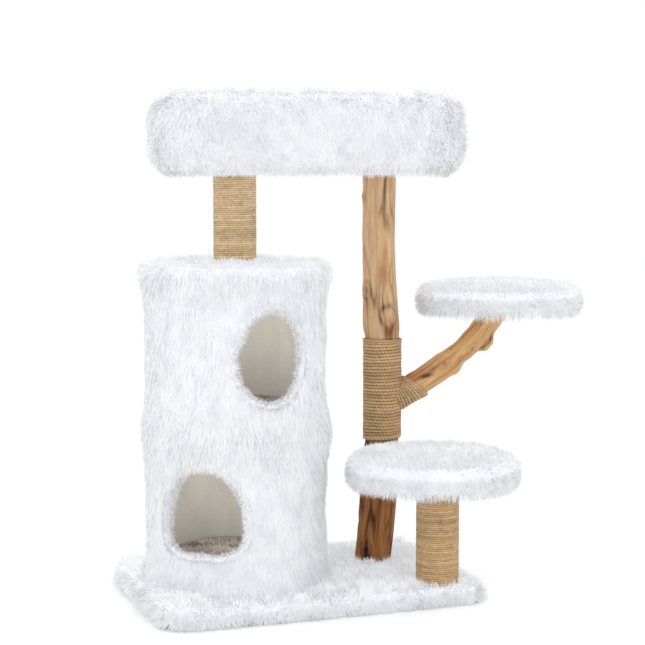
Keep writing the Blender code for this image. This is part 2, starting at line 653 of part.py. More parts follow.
def main():
    for old in list(bpy.data.objects):
        bpy.data.objects.remove(old)
    base_board, base_cover, base_sheet = base()
    floor_board, top_board, top_plush = condo()
    tall_low, tall_high = post("tall", CONDO, TALL_POST_Z, TALL_POST_LENGTH)
    short_low, short_high = post("short", SHORT_POST, SHORT_POST_Z, SHORT_POST_LENGTH)
    lower_trunk, upper_trunk, branch = trunk_and_branch()
    bed_board, bed_cover = bed()
    lower_board, lower_liner = platform("lower", LOWER_PLATFORM, LOWER_PLATFORM_Z)
    upper_board, upper_liner = platform("upper", UPPER_PLATFORM, UPPER_PLATFORM_HEIGHT)

    trunk_foot, trunk_head = trunk_centre(TRUNK_Z), trunk_centre(TRUNK_TOP)
    feet = (("trunk_foot", trunk_foot, lower_trunk), ("short_post_foot", SHORT_POST, short_low))
    for name, centre, into in feet:
        bolted(name, centre, base_board, BASE_BOARD_Z, BASE_BOARD, 1, [base_cover], into)
        bore(f"{name}_access", [base_sheet], centre, -0.002, SHEET + 0.002, COUNTERBORE_RADIUS)
    condo_screws(base_board, base_cover, floor_board)
    bolted("tall_post_foot", CONDO, top_board, TOP_BOARD_Z, BOARD, 1, [top_plush], tall_low)
    bolted("tall_post_head", CONDO, bed_board, BED_BOARD_Z, BOARD, -1, [bed_cover], tall_high, False)
    bolted("trunk_head", trunk_head, bed_board, BED_BOARD_Z, BOARD, -1, [bed_cover], upper_trunk, False)
    bolted("lower_platform", SHORT_POST, lower_board, LOWER_PLATFORM_Z + SHEET + GAP, BOARD, -1,
           [lower_liner], short_high)
    tip = (UPPER_PLATFORM[0] - BRANCH_TIP_INSET, UPPER_PLATFORM[1])
    bolted("upper_platform", tip, upper_board, UPPER_PLATFORM_HEIGHT + SHEET + GAP, BOARD, -1,
           [upper_liner], branch)
    stud(lower_trunk, upper_trunk)
    branch_lag_screw(upper_trunk, branch)


main()
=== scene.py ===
import json
import math

import bmesh
import bpy
import numpy as np
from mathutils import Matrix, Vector, kdtree

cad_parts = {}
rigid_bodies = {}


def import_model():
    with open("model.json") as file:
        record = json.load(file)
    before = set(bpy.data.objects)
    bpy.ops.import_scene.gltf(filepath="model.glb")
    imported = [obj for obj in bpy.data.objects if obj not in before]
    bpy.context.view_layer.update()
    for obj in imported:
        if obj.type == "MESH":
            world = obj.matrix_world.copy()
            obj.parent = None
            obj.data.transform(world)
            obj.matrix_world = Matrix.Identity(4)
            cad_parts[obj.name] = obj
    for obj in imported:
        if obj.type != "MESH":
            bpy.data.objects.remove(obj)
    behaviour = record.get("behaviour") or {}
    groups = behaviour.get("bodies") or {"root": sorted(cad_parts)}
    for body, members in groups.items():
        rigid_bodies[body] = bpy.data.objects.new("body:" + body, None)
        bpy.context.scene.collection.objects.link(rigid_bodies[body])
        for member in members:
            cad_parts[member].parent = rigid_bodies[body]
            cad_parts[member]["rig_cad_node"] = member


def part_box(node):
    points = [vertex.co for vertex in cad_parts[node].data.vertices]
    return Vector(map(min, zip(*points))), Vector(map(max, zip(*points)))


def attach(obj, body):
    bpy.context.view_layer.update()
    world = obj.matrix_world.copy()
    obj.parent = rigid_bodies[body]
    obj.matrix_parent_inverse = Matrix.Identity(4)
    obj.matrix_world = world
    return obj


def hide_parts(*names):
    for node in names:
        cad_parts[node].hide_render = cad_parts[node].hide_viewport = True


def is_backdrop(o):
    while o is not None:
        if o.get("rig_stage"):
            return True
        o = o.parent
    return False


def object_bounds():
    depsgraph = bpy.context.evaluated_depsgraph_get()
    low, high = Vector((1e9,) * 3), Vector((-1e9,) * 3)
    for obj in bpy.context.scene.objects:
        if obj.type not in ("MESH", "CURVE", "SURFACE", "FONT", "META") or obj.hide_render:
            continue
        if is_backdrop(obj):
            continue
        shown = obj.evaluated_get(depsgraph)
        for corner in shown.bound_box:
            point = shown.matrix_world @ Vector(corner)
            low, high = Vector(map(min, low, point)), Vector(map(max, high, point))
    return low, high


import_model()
CAD_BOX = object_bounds()
UP = np.array([0.0, 0.0, 1.0])

# --- camera, light and floor

CAMERA_PLACE = Vector((-1.0343, -3.0001, 0.8218))
CAMERA_YAW, CAMERA_PITCH = math.radians(19.93), math.radians(5.45)
CAMERA_LENS = 93.5
WHITE = (1.0, 1.0, 1.0, 1.0)
DEN_POWER = 0.82            # watts of the lamp in each den
FLOOR_HALF = 14.0


def add_object(name, data):
    made = bpy.data.objects.new(name, data)
    bpy.context.scene.collection.objects.link(made)
    return made


def set_inputs(node, values):
    for name, value in values.items():
        node.inputs[name].default_value = value


def make_camera():
    camera = bpy.data.cameras.new("camera")
    camera.lens = CAMERA_LENS
    camera.sensor_width = 36.0
    camera.clip_end = 100.0
    placed = add_object("camera", camera)
    flat = math.cos(CAMERA_PITCH)
    look = Vector((math.sin(CAMERA_YAW) * flat, math.cos(CAMERA_YAW) * flat, -math.sin(CAMERA_PITCH)))
    placed.location = CAMERA_PLACE
    placed.rotation_euler = look.to_track_quat("-Z", "Y").to_euler()
    bpy.context.scene.camera = placed


def make_light(name, place, target, size, power):
    lamp = bpy.data.lights.new(name, "AREA")
    lamp.shape = "DISK"
    lamp.size = size
    lamp.energy = power
    placed = add_object(name, lamp)
    placed.location = place
    placed.rotation_euler = (Vector(target) - Vector(place)).to_track_quat("-Z", "Y").to_euler()


def make_studio():
    scene = bpy.context.scene
    scene.view_settings.view_transform = "Standard"
    scene.world = bpy.data.worlds.new("studio")
    scene.world.use_nodes = True
    set_inputs(scene.world.node_tree.nodes["Background"], {"Color": WHITE, "Strength": 1.0})
    make_light("key", (-2.2, -2.6, 3.0), (0.05, 0.0, 0.45), 2.4, 25.0)
    make_light("fill", (2.8, -1.4, 1.8), (0.05, 0.0, 0.5), 2.0, 8.0)
    make_light("back", (0.8, 2.8, 2.6), (0.05, 0.0, 0.5), 2.4, 12.0)


def make_den_light(name, place):
    """A small soft lamp that shows the inside of one den."""
    lamp = bpy.data.lights.new(name, "POINT")
    lamp.shadow_soft_size = 0.06
    lamp.energy = DEN_POWER
    lamp.color = (0.99, 0.99, 0.98)
    placed = add_object(name, lamp)
    placed.location = place
    placed.visible_camera = False


def make_floor():
    mesh = bpy.data.meshes.new("floor")
    corners = [(x * FLOOR_HALF, y * FLOOR_HALF, 0) for x, y in ((-1, -1), (1, -1), (1, 1), (-1, 1))]
    mesh.from_pydata(corners, [], [(0, 1, 2, 3)])
    floor = add_object("floor", mesh)
    floor.location.z = -0.0005
    look = new_material("floor", roughness=0.9)
    set_inputs(look["shader"], {"Base Color": (0.93, 0.93, 0.93, 1.0), "Emission Color": WHITE,
                                "Emission Strength": 0.10})
    mesh.materials.append(look["material"])
    floor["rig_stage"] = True


# --- materials

def new_material(name, roughness=0.8, metallic=0.0, sheen=0.0):
    made = bpy.data.materials.new(name)
    made.use_nodes = True
    shader = made.node_tree.nodes["Principled BSDF"]
    set_inputs(shader, {"Roughness": roughness, "Metallic": metallic, "Sheen Weight": sheen,
                        "Specular IOR Level": 0.25})
    return {"material": made, "shader": shader, "tree": made.node_tree}


def noise_node(look, scale, stretch=(1, 1, 1), detail=4.0, distortion=0.0, grain=False):
    """Noise in the object's own metres, or in the metres of its "grain" attribute, whose z runs along the
    wood. A small stretch along an axis draws the pattern out along it."""
    nodes, links = look["tree"].nodes, look["tree"].links
    place = nodes.new("ShaderNodeAttribute" if grain else "ShaderNodeTexCoord")
    if grain:
        place.attribute_name = "grain"
    mapping = nodes.new("ShaderNodeMapping")
    set_inputs(mapping, {"Scale": stretch})
    noise = nodes.new("ShaderNodeTexNoise")
    set_inputs(noise, {"Scale": scale, "Detail": detail, "Distortion": distortion})
    links.new(place.outputs["Vector" if grain else "Object"], mapping.inputs["Vector"])
    links.new(mapping.outputs["Vector"], noise.inputs["Vector"])
    return noise.outputs["Fac"]


def noise_ramp(look, scale, stops, **noise):
    """Noise turned into colours. stops is pairs of a place from 0 to 1 and a colour, or one number for a
    grey."""
    made = look["tree"].nodes.new("ShaderNodeValToRGB")
    band = made.color_ramp
    while len(band.elements) < len(stops):
        band.elements.new(0.5)
    for element, (at, colour) in zip(band.elements, stops):
        element.position = at
        element.color = (*(colour if isinstance(colour, tuple) else (colour,) * 3), 1.0)
    look["tree"].links.new(noise_node(look, scale, **noise), made.inputs["Fac"])
    return made.outputs["Color"]


def multiply(look, first, second, factor=1.0):
    mixed = look["tree"].nodes.new("ShaderNodeMix")
    mixed.data_type = "RGBA"
    mixed.blend_type = "MULTIPLY"
    mixed.inputs[0].default_value = factor
    look["tree"].links.new(first, mixed.inputs[6])
    look["tree"].links.new(second, mixed.inputs[7])
    return mixed.outputs[2]


def set_colour(look, colour):
    look["tree"].links.new(colour, look["shader"].inputs["Base Color"])


def set_bump(look, distance, scale, **noise):
    bump = look["tree"].nodes.new("ShaderNodeBump")
    set_inputs(bump, {"Distance": distance, "Strength": 0.6})
    look["tree"].links.new(noise_node(look, scale, **noise), bump.inputs["Height"])
    look["tree"].links.new(bump.outputs["Normal"], look["shader"].inputs["Normal"])


def tint_node(look):
    made = look["tree"].nodes.new("ShaderNodeAttribute")
    made.attribute_name = "tint"
    return made.outputs["Color"]


def set_painted_glow(look, colour, strength):
    """Painted glow: an emission that stands for the light that scatters many times inside a white pile."""
    set_inputs(look["shader"], {"Emission Color": (*colour, 1.0), "Emission Strength": strength})


def fur_material(name, dark, light, glow, scale=38.0):
    look = new_material(name, roughness=0.72, sheen=0.15)
    set_colour(look, noise_ramp(look, scale, [(0.30, dark), (0.62, light)], detail=3.0))
    set_painted_glow(look, light, glow)
    return look["material"]


def skin_material(name, dark, light, glow):
    """Woven backing under a pile, mottled by the roots of the hair, with a painted glow."""
    look = new_material(name, roughness=0.95, sheen=0.1)
    set_colour(look, noise_ramp(look, 260.0, [(0.35, dark), (0.65, light)], detail=2.0))
    set_bump(look, 0.0006, 900.0, detail=2.0)
    set_painted_glow(look, light, glow)
    return look["material"]


def lining_material():
    look = new_material("den_lining", roughness=0.95)
    cloud = noise_ramp(look, 14.0, [(0.32, (0.46, 0.445, 0.413)), (0.70, (0.56, 0.548, 0.522))],
                       stretch=(1, 1, 0.35))
    fibre = noise_ramp(look, 700.0, [(0.35, 0.86), (0.65, 1.0)], detail=3.0)
    set_colour(look, multiply(look, cloud, fibre))
    set_bump(look, 0.0005, 800.0, detail=3.0)
    return look["material"]


def wood_material(name, fine_dark, roughness):
    """The pale and brown of the wood is worked out with its shape; fine grain runs along it."""
    look = new_material(name, roughness=roughness)
    fine = noise_ramp(look, 420.0, [(0.36, fine_dark), (0.60, 1.0)], stretch=(1, 1, 0.05), detail=6.0,
                      grain=True)
    pores = noise_ramp(look, 1500.0, [(0.30, (0.72, 0.66, 0.60)), (0.42, 1.0)], stretch=(1, 1, 0.03),
                       detail=2.0, grain=True)
    set_colour(look, multiply(look, multiply(look, tint_node(look), fine), pores, 0.8))
    set_bump(look, 0.0009, 520.0, stretch=(1, 1, 0.06), detail=5.0, grain=True)
    return look["material"]


def rope_material(name):
    look = new_material(name, roughness=0.92, sheen=0.1)
    fibre = noise_ramp(look, 1300.0, [(0.30, (0.62, 0.58, 0.52)), (0.66, (1.08, 1.06, 1.02))])
    batch = noise_ramp(look, 45.0, [(0.30, (0.88, 0.86, 0.82)), (0.70, (1.05, 1.04, 1.02))],
                       stretch=(0.3, 0.3, 6.0), detail=2.0)
    set_colour(look, multiply(look, multiply(look, tint_node(look), fibre), batch))
    set_bump(look, 0.0007, 1700.0, detail=3.0)
    return look["material"]


def core_material(name, roughness, colours, bump, metallic=0.0):
    """A material of an inner piece. colours holds the noise's scale, its stops and its settings; bump
    holds the depth, the scale and the detail."""
    look = new_material(name, roughness, metallic)
    scale, stops, noise = colours
    set_colour(look, noise_ramp(look, scale, stops, **noise))
    depth, fine, detail = bump
    set_bump(look, depth, fine, detail=detail)
    return look["material"]


# --- shapes

def smooth_noise(points, size, seed):
    """Smooth random values from -1 to 1 at (n, 3) points. size is the width of one feature, in metres,
    as one number or one for each axis."""
    lattice = np.random.default_rng(seed).uniform(-1, 1, (32, 32, 32))
    scaled = points / np.asarray(size, float)
    cell = np.floor(scaled).astype(int)
    share = scaled - cell
    share = share * share * (3 - 2 * share)
    total = np.zeros(len(points))
    for corner in range(8):
        step = np.array([corner & 1, corner >> 1 & 1, corner >> 2 & 1])
        weight = np.prod(np.where(step, share, 1 - share), axis=1)
        at = (cell + step) % 32
        total += weight * lattice[at[:, 0], at[:, 1], at[:, 2]]
    return total


def noise_vectors(points, size, seed):
    return np.stack([smooth_noise(points, size, seed + k) for k in range(3)], axis=1)


def unit(vectors):
    return vectors / np.maximum(np.linalg.norm(vectors, axis=1, keepdims=True), 1e-9)


def bell(offset, width):
    """1 at no offset, falling smoothly to 0 over about twice the width."""
    return np.exp(-(offset / width) ** 2)


def flat_from(places, centre):
    """Level offsets of places from the upright line at centre."""
    return (places - np.array([centre[0], centre[1], 0.0])) * np.array([1, 1, 0])


def away_from(places, centre):
    """Level distances of places from the upright line at centre."""
    return np.hypot(places[:, 0] - centre[0], places[:, 1] - centre[1])


def mesh_piece(name, points, faces, material):
    mesh = bpy.data.meshes.new(name)
    mesh.from_pydata([tuple(p) for p in points], [], [tuple(f) for f in faces])
    mesh.validate()
    mesh.shade_smooth()
    mesh.materials.append(material)
    return add_object(name, mesh)


def skin_rings(name, rings, material, loop=False, capped=True):
    """A surface over an array of rings, (rows, columns, 3), each closed on itself. loop joins the last ring
    to the first; otherwise the two ends are capped, unless capped is False."""
    rows, columns = rings.shape[:2]
    r = np.arange(rows if loop else rows - 1)[:, None]
    c = np.arange(columns)[None, :]
    nr, nc = (r + 1) % rows, (c + 1) % columns
    quads = np.stack([r * columns + c, r * columns + nc, nr * columns + nc, nr * columns + c], axis=-1)
    faces = quads.reshape(-1, 4).tolist()
    if capped and not loop:
        faces.append(list(range(columns))[::-1])
        faces.append([(rows - 1) * columns + c for c in range(columns)])
    made = mesh_piece(name, rings.reshape(-1, 3), faces, material)
    if signed_volume(made) < 0:
        made.data.flip_normals()
    return made


def mesh_arrays(made):
    mesh = made.data
    mesh.calc_loop_triangles()
    points = np.empty(len(mesh.vertices) * 3, np.float32)
    mesh.vertices.foreach_get("co", points)
    triangles = np.empty(len(mesh.loop_triangles) * 3, np.int32)
    mesh.loop_triangles.foreach_get("vertices", triangles)
    return points.reshape(-1, 3).astype(float), triangles.reshape(-1, 3)


def set_points(made, points):
    made.data.vertices.foreach_set("co", points.reshape(-1).astype(np.float32))
    made.data.update()


def signed_volume(made):
    points, triangles = mesh_arrays(made)
    a, b, c = (points[triangles[:, k]] for k in range(3))
    return float(np.einsum("ij,ij->i", a, np.cross(b, c)).sum())


def vertex_normals(points, triangles):
    a, b, c = (points[triangles[:, k]] for k in range(3))
    faces = np.cross(b - a, c - a)
    total = np.zeros_like(points)
    for k in range(3):
        np.add.at(total, triangles[:, k], faces)
    return unit(total)


def turn_from(turn, at_degrees):
    """Angles counted from at_degrees, between half a turn back and half a turn on, as a flat array."""
    off = turn.reshape(-1) - math.radians(at_degrees)
    return np.arctan2(np.sin(off), np.cos(off))


def turns(count):
    return np.arange(count) * 2 * math.pi / count


def round_points(centre, radius, turn, z):
    """Places at the given radius, angle and height round an upright line, as arrays of one shape."""
    return np.stack([centre[0] + radius * np.cos(turn), centre[1] + radius * np.sin(turn), z], axis=-1)


def lathe_rings(centre, profile, steps):
    """profile is (radius, z) pairs."""
    profile = np.asarray(profile, float)
    t = turns(steps)
    x = centre[0] + profile[:, :1] * np.cos(t)
    y = centre[1] + profile[:, :1] * np.sin(t)
    z = np.repeat(profile[:, 1:], steps, axis=1)
    return np.stack([x, y, z], axis=-1)


def even_points(line, count, open_end=False):
    """The line with count points at even steps along it. Without open_end, its end is left out, as it is
    the start again."""
    along = np.concatenate([[0], np.cumsum(np.linalg.norm(np.diff(line, axis=0), axis=1))])
    wanted = np.linspace(0, along[-1], count, endpoint=open_end)
    return np.stack([np.interp(wanted, along, line[:, k]) for k in range(2)], axis=1)


def resample(profile, step):
    """The same profile with points at even steps of about step along it."""
    profile = np.asarray(profile, float)
    length = np.cumsum(np.linalg.norm(np.diff(profile, axis=0), axis=1))[-1]
    return even_points(profile, max(3, int(length / step) + 1), open_end=True)


def rounded_outline(count, power, across, up):
    """A closed curve between an oval and a rectangle: power 2 is an oval, more is squarer."""
    t = np.linspace(0, 2 * math.pi, count)
    c, s = np.cos(t), np.sin(t)
    power = power(s) if callable(power) else power
    return (np.copysign(np.abs(c) ** (2 / power), c) * across,
            np.copysign(np.abs(s) ** (2 / power), s) * up, s)


def arc_points(centre, across, up, start, end, count=9):
    t = np.radians(np.linspace(start, end, count))
    return [(centre[0] + across * math.cos(a), centre[1] + up * math.sin(a)) for a in t]


def fix_modifiers(made):
    graph = bpy.context.evaluated_depsgraph_get()
    result = bpy.data.meshes.new_from_object(made.evaluated_get(graph))
    made.modifiers.clear()
    made.data = result


def cut(made, other):
    modifier = made.modifiers.new("cut", "BOOLEAN")
    modifier.solver = "EXACT"
    modifier.object = other
    fix_modifiers(made)
    bpy.data.objects.remove(other)


# --- fur

FUR_MOST = 60000            # strands in one piece
FUR_DENSITY = 1.0


def scatter(made, per_cm2, seed, keep=None):
    """Random places on a mesh with their normals. keep takes both and returns the share to keep."""
    rng = np.random.default_rng(seed)
    points, triangles = mesh_arrays(made)
    normals = vertex_normals(points, triangles)
    a, b, c = (points[triangles[:, k]] for k in range(3))
    areas = np.linalg.norm(np.cross(b - a, c - a), axis=1) / 2
    count = int(areas.sum() * 1e4 * per_cm2 * FUR_DENSITY)
    chosen = rng.choice(len(triangles), count, p=areas / areas.sum())
    r1, r2 = np.sqrt(rng.uniform(size=count)), rng.uniform(size=count)
    weights = np.stack([1 - r1, r1 * (1 - r2), r1 * r2], axis=1)
    corners = triangles[chosen]
    places = np.einsum("nk,nkj->nj", weights, points[corners])
    up = unit(np.einsum("nk,nkj->nj", weights, normals[corners]))
    if keep is not None:
        share = keep(places, up)
        kept = rng.uniform(size=count) < share
        places, up = places[kept], up[kept]
    return places, up


def clump_targets(places, spacing, seed):
    """For each place the nearest of a thinned-out set of places, which its strand leans towards."""
    rng = np.random.default_rng(seed)
    cells = np.floor(places / spacing).astype(int)
    _, first = np.unique(cells, axis=0, return_index=True)
    heads = places[rng.permutation(first)]
    tree = kdtree.KDTree(len(heads))
    for index, head in enumerate(heads):
        tree.insert(head, index)
    tree.balance()
    nearest = np.fromiter((tree.find(place)[1] for place in places), int, len(places))
    return heads[nearest]


def grow_fur(name, places, up, comb, material, length, width, seed, lift=0.55, droop=0.25, clump=0.4,
             spacing=0.009, stray=0.22, wander=0.35, lowest=0.0006, slot="plush"):
    """Tapered strands that stand off the skin, lean along comb, bend down and gather into tufts. length
    and lift are one number, or one for each strand."""
    rng = np.random.default_rng(seed)
    count = len(places)
    lift = np.broadcast_to(lift, count)[:, None]
    long = np.broadcast_to(length, count) * rng.uniform(0.70, 1.12, count)
    long = long * (1 + 0.15 * smooth_noise(places, 0.03, seed + 5))
    start = unit(up * lift + comb + rng.normal(0, stray, (count, 3)))
    end = unit(up * lift * 0.45 + comb * 1.1 - UP * droop + noise_vectors(places, 0.012, seed + 9) * wander
               + rng.normal(0, stray * 0.6, (count, 3)))
    pull = (clump_targets(places, spacing, seed) - places) * clump
    middle = places + long[:, None] * (0.5 * start + 0.125 * (end - start)) + pull * 0.35
    tip = places + long[:, None] * (start + 0.5 * (end - start)) + pull
    middle[:, 2] = np.maximum(middle[:, 2], lowest)
    tip[:, 2] = np.maximum(tip[:, 2], lowest)
    side = unit(np.cross(end, up) + rng.normal(0, 0.30, (count, 3)))
    side *= np.where(np.einsum("ij,ij->i", np.cross(side, tip - places), up) < 0, -1.0, 1.0)[:, None]
    half = side * (width * rng.uniform(0.7, 1.3, count) / 2)[:, None]
    points = np.stack([places - half, places + half, middle - half * 0.85, middle + half * 0.85, tip], axis=1)
    for low in range(0, count, FUR_MOST):
        part = slice(low, min(count, low + FUR_MOST))
        suffix = "" if count <= FUR_MOST else f"_{low // FUR_MOST + 1}"
        keep_piece(strand_mesh(name + suffix, points[part], up[part], places[part], material), slot)


def strand_mesh(name, points, up, places, material):
    """One mesh of strands, each a quad and a tip. Their normals are turned towards the skin's, as light
    passes through a pile softly."""
    count = len(points)
    corners = (np.arange(count)[:, None] * 5 + np.array([0, 1, 3, 2, 2, 3, 4])).reshape(-1)
    starts = (np.arange(count)[:, None] * 7 + np.array([0, 4])).reshape(-1)
    mesh = bpy.data.meshes.new(name)
    mesh.vertices.add(count * 5)
    mesh.vertices.foreach_set("co", points.reshape(-1).astype(np.float32))
    mesh.loops.add(count * 7)
    mesh.loops.foreach_set("vertex_index", corners.astype(np.int32))
    mesh.polygons.add(count * 2)
    mesh.polygons.foreach_set("loop_start", starts.astype(np.int32))
    mesh.update(calc_edges=True)
    low, high = places.min(axis=0), places.max(axis=0)
    flat = (places - low) / np.maximum(high - low, 1e-6)
    middle = places.mean(axis=0)
    around = np.arctan2(places[:, 1] - middle[1], places[:, 0] - middle[0]) / (2 * math.pi) + 0.5
    outward = np.hypot(flat[:, 0] - 0.5, flat[:, 1] - 0.5)
    root_uv = np.stack([around, flat[:, 2] * 0.5 + 0.5 * outward], axis=1)
    shape = np.array([(-1, 0), (1, 0), (-0.85, 1.5), (0.85, 1.5), (0, 3)]) * 0.0006
    uv = np.clip(root_uv[:, None] * 0.99 + shape[None] + 0.003, 0, 1).reshape(-1, 2)
    layer = mesh.uv_layers.new(name="OFBake")
    layer.data.foreach_set("uv", uv[corners].reshape(-1).astype(np.float32))
    mesh.shade_smooth()
    own = unit(np.cross(points[:, 1] - points[:, 0], points[:, 4] - points[:, 0]))
    normals = np.repeat(unit(up * 0.8 + own * 0.35), 5, axis=0)
    mesh.normals_split_custom_set_from_vertices(normals.astype(np.float32))
    mesh.materials.append(material)
    return add_object(name, mesh)


def downhill(up, amount):
    """Along the skin, straight down."""
    return (-UP - up * (up @ -UP)[:, None]) * amount


def swirl(places, up, size, seed, amount):
    """Along the skin, in slowly changing directions."""
    flow = noise_vectors(places, size, seed)
    flow = flow - up * np.einsum("ij,ij->i", flow, up)[:, None]
    return flow * amount


# --- measures of the CAD

def span(node):
    low, high = (np.array(corner, float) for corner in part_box(node))
    return low, high


def centre_of(node):
    return sum(span(node)) / 2


CONDO = centre_of("condo_mid_board")[:2]
CONDO_RADIUS = float(span("condo_mid_board")[1][0] - CONDO[0])
CONDO_SEAM = float(centre_of("condo_mid_board")[2])
CONDO_BASE = float(span("condo_floor_board")[0][2])
CONDO_TOP = float(span("condo_top_plush")[1][2])
PILE_BACKING = 0.004
DOOR_ROLL = 0.0115          # from a doorway's edge out to the middle of its rolled rim
DOORS = {
    "lower": dict(turn=-38.5, wide=0.0690, high=0.0765, square=3.2, taper=0.13,
                  z=float(span("lower_condo_wall")[0][2]) + 0.152),
    "upper": dict(turn=6.0, wide=0.0590, high=0.0810, square=2.0, taper=0.04,
                  z=float(span("upper_condo_wall")[0][2]) + 0.142),
}
TALL_POST = centre_of("tall_post_rope")[:2]
POST_RADIUS = float(span("tall_post_rope")[1][0] - TALL_POST[0])
SHORT_POST = centre_of("short_post_rope")[:2]
TRUNK = np.array([0.197, 0.050])
TRUNK_RADIUS = 0.0325
WRAP_BOTTOM, WRAP_TOP = (float(corner[2]) for corner in span("trunk_rope_wrap"))
WRAP_THICK, WRAP_ROUND = 0.006, 0.038
BRANCH_TIP = np.array([0.431, 0.020, float(span("upper_platform_underside")[0][2]) - 0.0003])
BED_LOW, BED_HIGH = span("bed_plush_cover")
BED_POWER = 2.35
BED_RIM = 0.075
BED_ROUND = 0.047
BED_FOOT = 0.053
BED_HOLE = 0.195            # how far in the plush reaches under the bed
BASE_LOW, BASE_HIGH = span("base_plush_cover")
BASE_CORNER = 0.045


def srgb(red, green, blue):
    values = np.array([red, green, blue], float) / 255
    return tuple(np.where(values <= 0.04045, values / 12.92, ((values + 0.055) / 1.055) ** 2.4))


def tint(made, colours):
    layer = made.data.color_attributes.new("tint", "FLOAT_COLOR", "POINT")
    rgba = np.ones((len(colours), 4), np.float32)
    rgba[:, :3] = np.clip(colours, 0, 1)
    layer.data.foreach_set("color", rgba.reshape(-1))


def set_grain(made, places):
    layer = made.data.attributes.new("grain", "FLOAT_VECTOR", "POINT")
    layer.data.foreach_set("vector", places.reshape(-1).astype(np.float32))


def blend_colours(first, second, share):
    share = np.clip(share, 0, 1)[:, None]
    return first * (1 - share) + np.asarray(second) * share


def keep_piece(made, slot, *nodes):
    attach(made, "root")
    if nodes:
        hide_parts(*nodes)


# --- materials in use

# Each pile and backing below gets a painted glow, an emission of the strength in its last number.
FUR = fur_material("long_pile", srgb(237, 239, 242), srgb(248, 249, 251), 0.065)
# The crown pile on tops gets a stronger painted glow, standing for the light that a pile seen along its tips
# lets through.
CROWN_FUR = fur_material("crown_pile", srgb(240, 241, 243), srgb(248, 249, 251), 0.165)
SKIN = skin_material("pile_backing", srgb(226, 229, 233), srgb(240, 242, 245), 0.22)
LINING = lining_material()
MAT_SKIN = skin_material("mat_backing", srgb(146, 140, 130), srgb(168, 161, 151), 0.10)
MAT_FUR = fur_material("mat_pile", srgb(150, 144, 134), srgb(174, 168, 158), 0.10, 60.0)
UPPER_WOOD = wood_material("pale_wood", (0.86, 0.78, 0.69), 0.6)
LOWER_WOOD = wood_material("dark_wood", (0.66, 0.55, 0.45), 0.75)
ROPE = rope_material("wound_rope")


# --- condo

def condo_pile_radius(z):
    """Radius of the plush: snug on the boards, drawn in between them, with a full hem at the foot."""
    over = CONDO_RADIUS + 0.0008 + PILE_BACKING
    waist = 0.0036 * (1 - bell(z - CONDO_SEAM, 0.045))
    foot = 0.0085 * bell(z - CONDO_BASE, 0.036)
    crown = 0.0072 * bell(z - CONDO_TOP, 0.032)
    return over - waist + foot + crown + 0.0012 * bell(z - CONDO_SEAM, 0.020)


def door_points(door, grow, count):
    """(across, up) round a doorway as in the CAD, at even steps. It is square below only."""
    across, up, s = rounded_outline(721, lambda s: np.where(s >= 0, 2.0, door["square"]),
                                    door["wide"] + grow, door["high"] + grow)
    return even_points(np.stack([across * (1 - door["taper"] * s), up], axis=1), count)


def door_axes(door):
    turn = math.radians(door["turn"])
    outward = np.array([math.sin(turn), -math.cos(turn), 0.0])
    side = np.array([math.cos(turn), math.sin(turn), 0.0])
    return outward, side, np.array([*CONDO, door["z"]])


def door_prism(door, grow):
    outward, side, middle = door_axes(door)
    line = door_points(door, grow, 120)
    rings = [middle + outward * depth + side * line[:, :1] + UP * line[:, 1:]
             for depth in (CONDO_RADIUS * 0.5, CONDO_RADIUS * 1.3)]
    return skin_rings("door_cutter", np.stack(rings), SKIN)


def door_distance(places):
    """How far each place on the condo's side lies outside the doorways' edge, negative inside."""
    nearest = np.full(len(places), 9.0)
    for door in DOORS.values():
        outward, side, middle = door_axes(door)
        local = places - middle
        line = door_points(door, DOOR_ROLL, 90)
        across, up = local @ side, local[:, 2]
        gaps = (across[:, None] - line[None, :, 0]) ** 2 + (up[:, None] - line[None, :, 1]) ** 2
        away = np.sqrt(gaps.min(axis=1))
        inside = np.hypot(across / (door["wide"] + DOOR_ROLL), up / (door["high"] + DOOR_ROLL)) < 1
        away = np.where(inside, -away, away)
        away = np.where(local @ outward > 0, away, 9.0)
        nearest = np.minimum(nearest, away)
    return nearest


def toward_doors(places, up, amount):
    """Along the skin towards the middle of a doorway, near its edge only."""
    away = door_distance(places)
    total = np.zeros_like(places)
    for door in DOORS.values():
        outward, _, middle = door_axes(door)
        lean = middle + outward * CONDO_RADIUS - places
        lean -= up * np.einsum("ij,ij->i", lean, up)[:, None]
        near = np.exp(-np.clip(away, 0, 1) / 0.010) * (np.linalg.norm(lean, axis=1) < 0.125)
        total += unit(lean) * near[:, None]
    return total * amount


def condo_shell():
    shoulder = 0.012
    heights = np.linspace(CONDO_BASE + 0.0006, CONDO_TOP - shoulder, 112)
    side = [(condo_pile_radius(z), z) for z in heights]
    edge = condo_pile_radius(np.array(CONDO_TOP - shoulder))
    corner = arc_points((edge - shoulder, CONDO_TOP - shoulder), shoulder, shoulder, 12, 90, 7)
    top = [(r, CONDO_TOP) for r in np.linspace(edge - 0.020, 0.006, 24)]
    outside = (side + corner + top)[::-1]
    inner = CONDO_RADIUS + 0.0006
    under_top = CONDO_TOP - PILE_BACKING + 0.0001
    inside = [(inner, CONDO_BASE + 0.0006), (inner, CONDO_SEAM), (inner, under_top),
              (inner - 0.02, under_top), (0.006, under_top)]
    rings = lathe_rings(CONDO, outside + inside, 220)
    shape = rings[:len(outside)]
    out = flat_from(shape, CONDO)
    flat = shape.reshape(-1, 3)
    swelling = smooth_noise(flat, (0.045, 0.045, 0.06), 11).reshape(shape.shape[:2]) * 0.0028 + 0.0022
    reach = np.linalg.norm(out, axis=-1, keepdims=True)
    by_side = np.clip((reach[..., 0] - 0.145) / 0.015, 0, 1)
    shape += out / np.maximum(reach, 1e-6) * (swelling * by_side)[..., None]
    made = skin_rings("condo_plush_skin", rings, SKIN)
    for door in DOORS.values():
        cut(made, door_prism(door, DOOR_ROLL))
    keep_piece(made, "plush", "lower_condo_plush", "upper_condo_plush", "condo_top_plush")
    return made


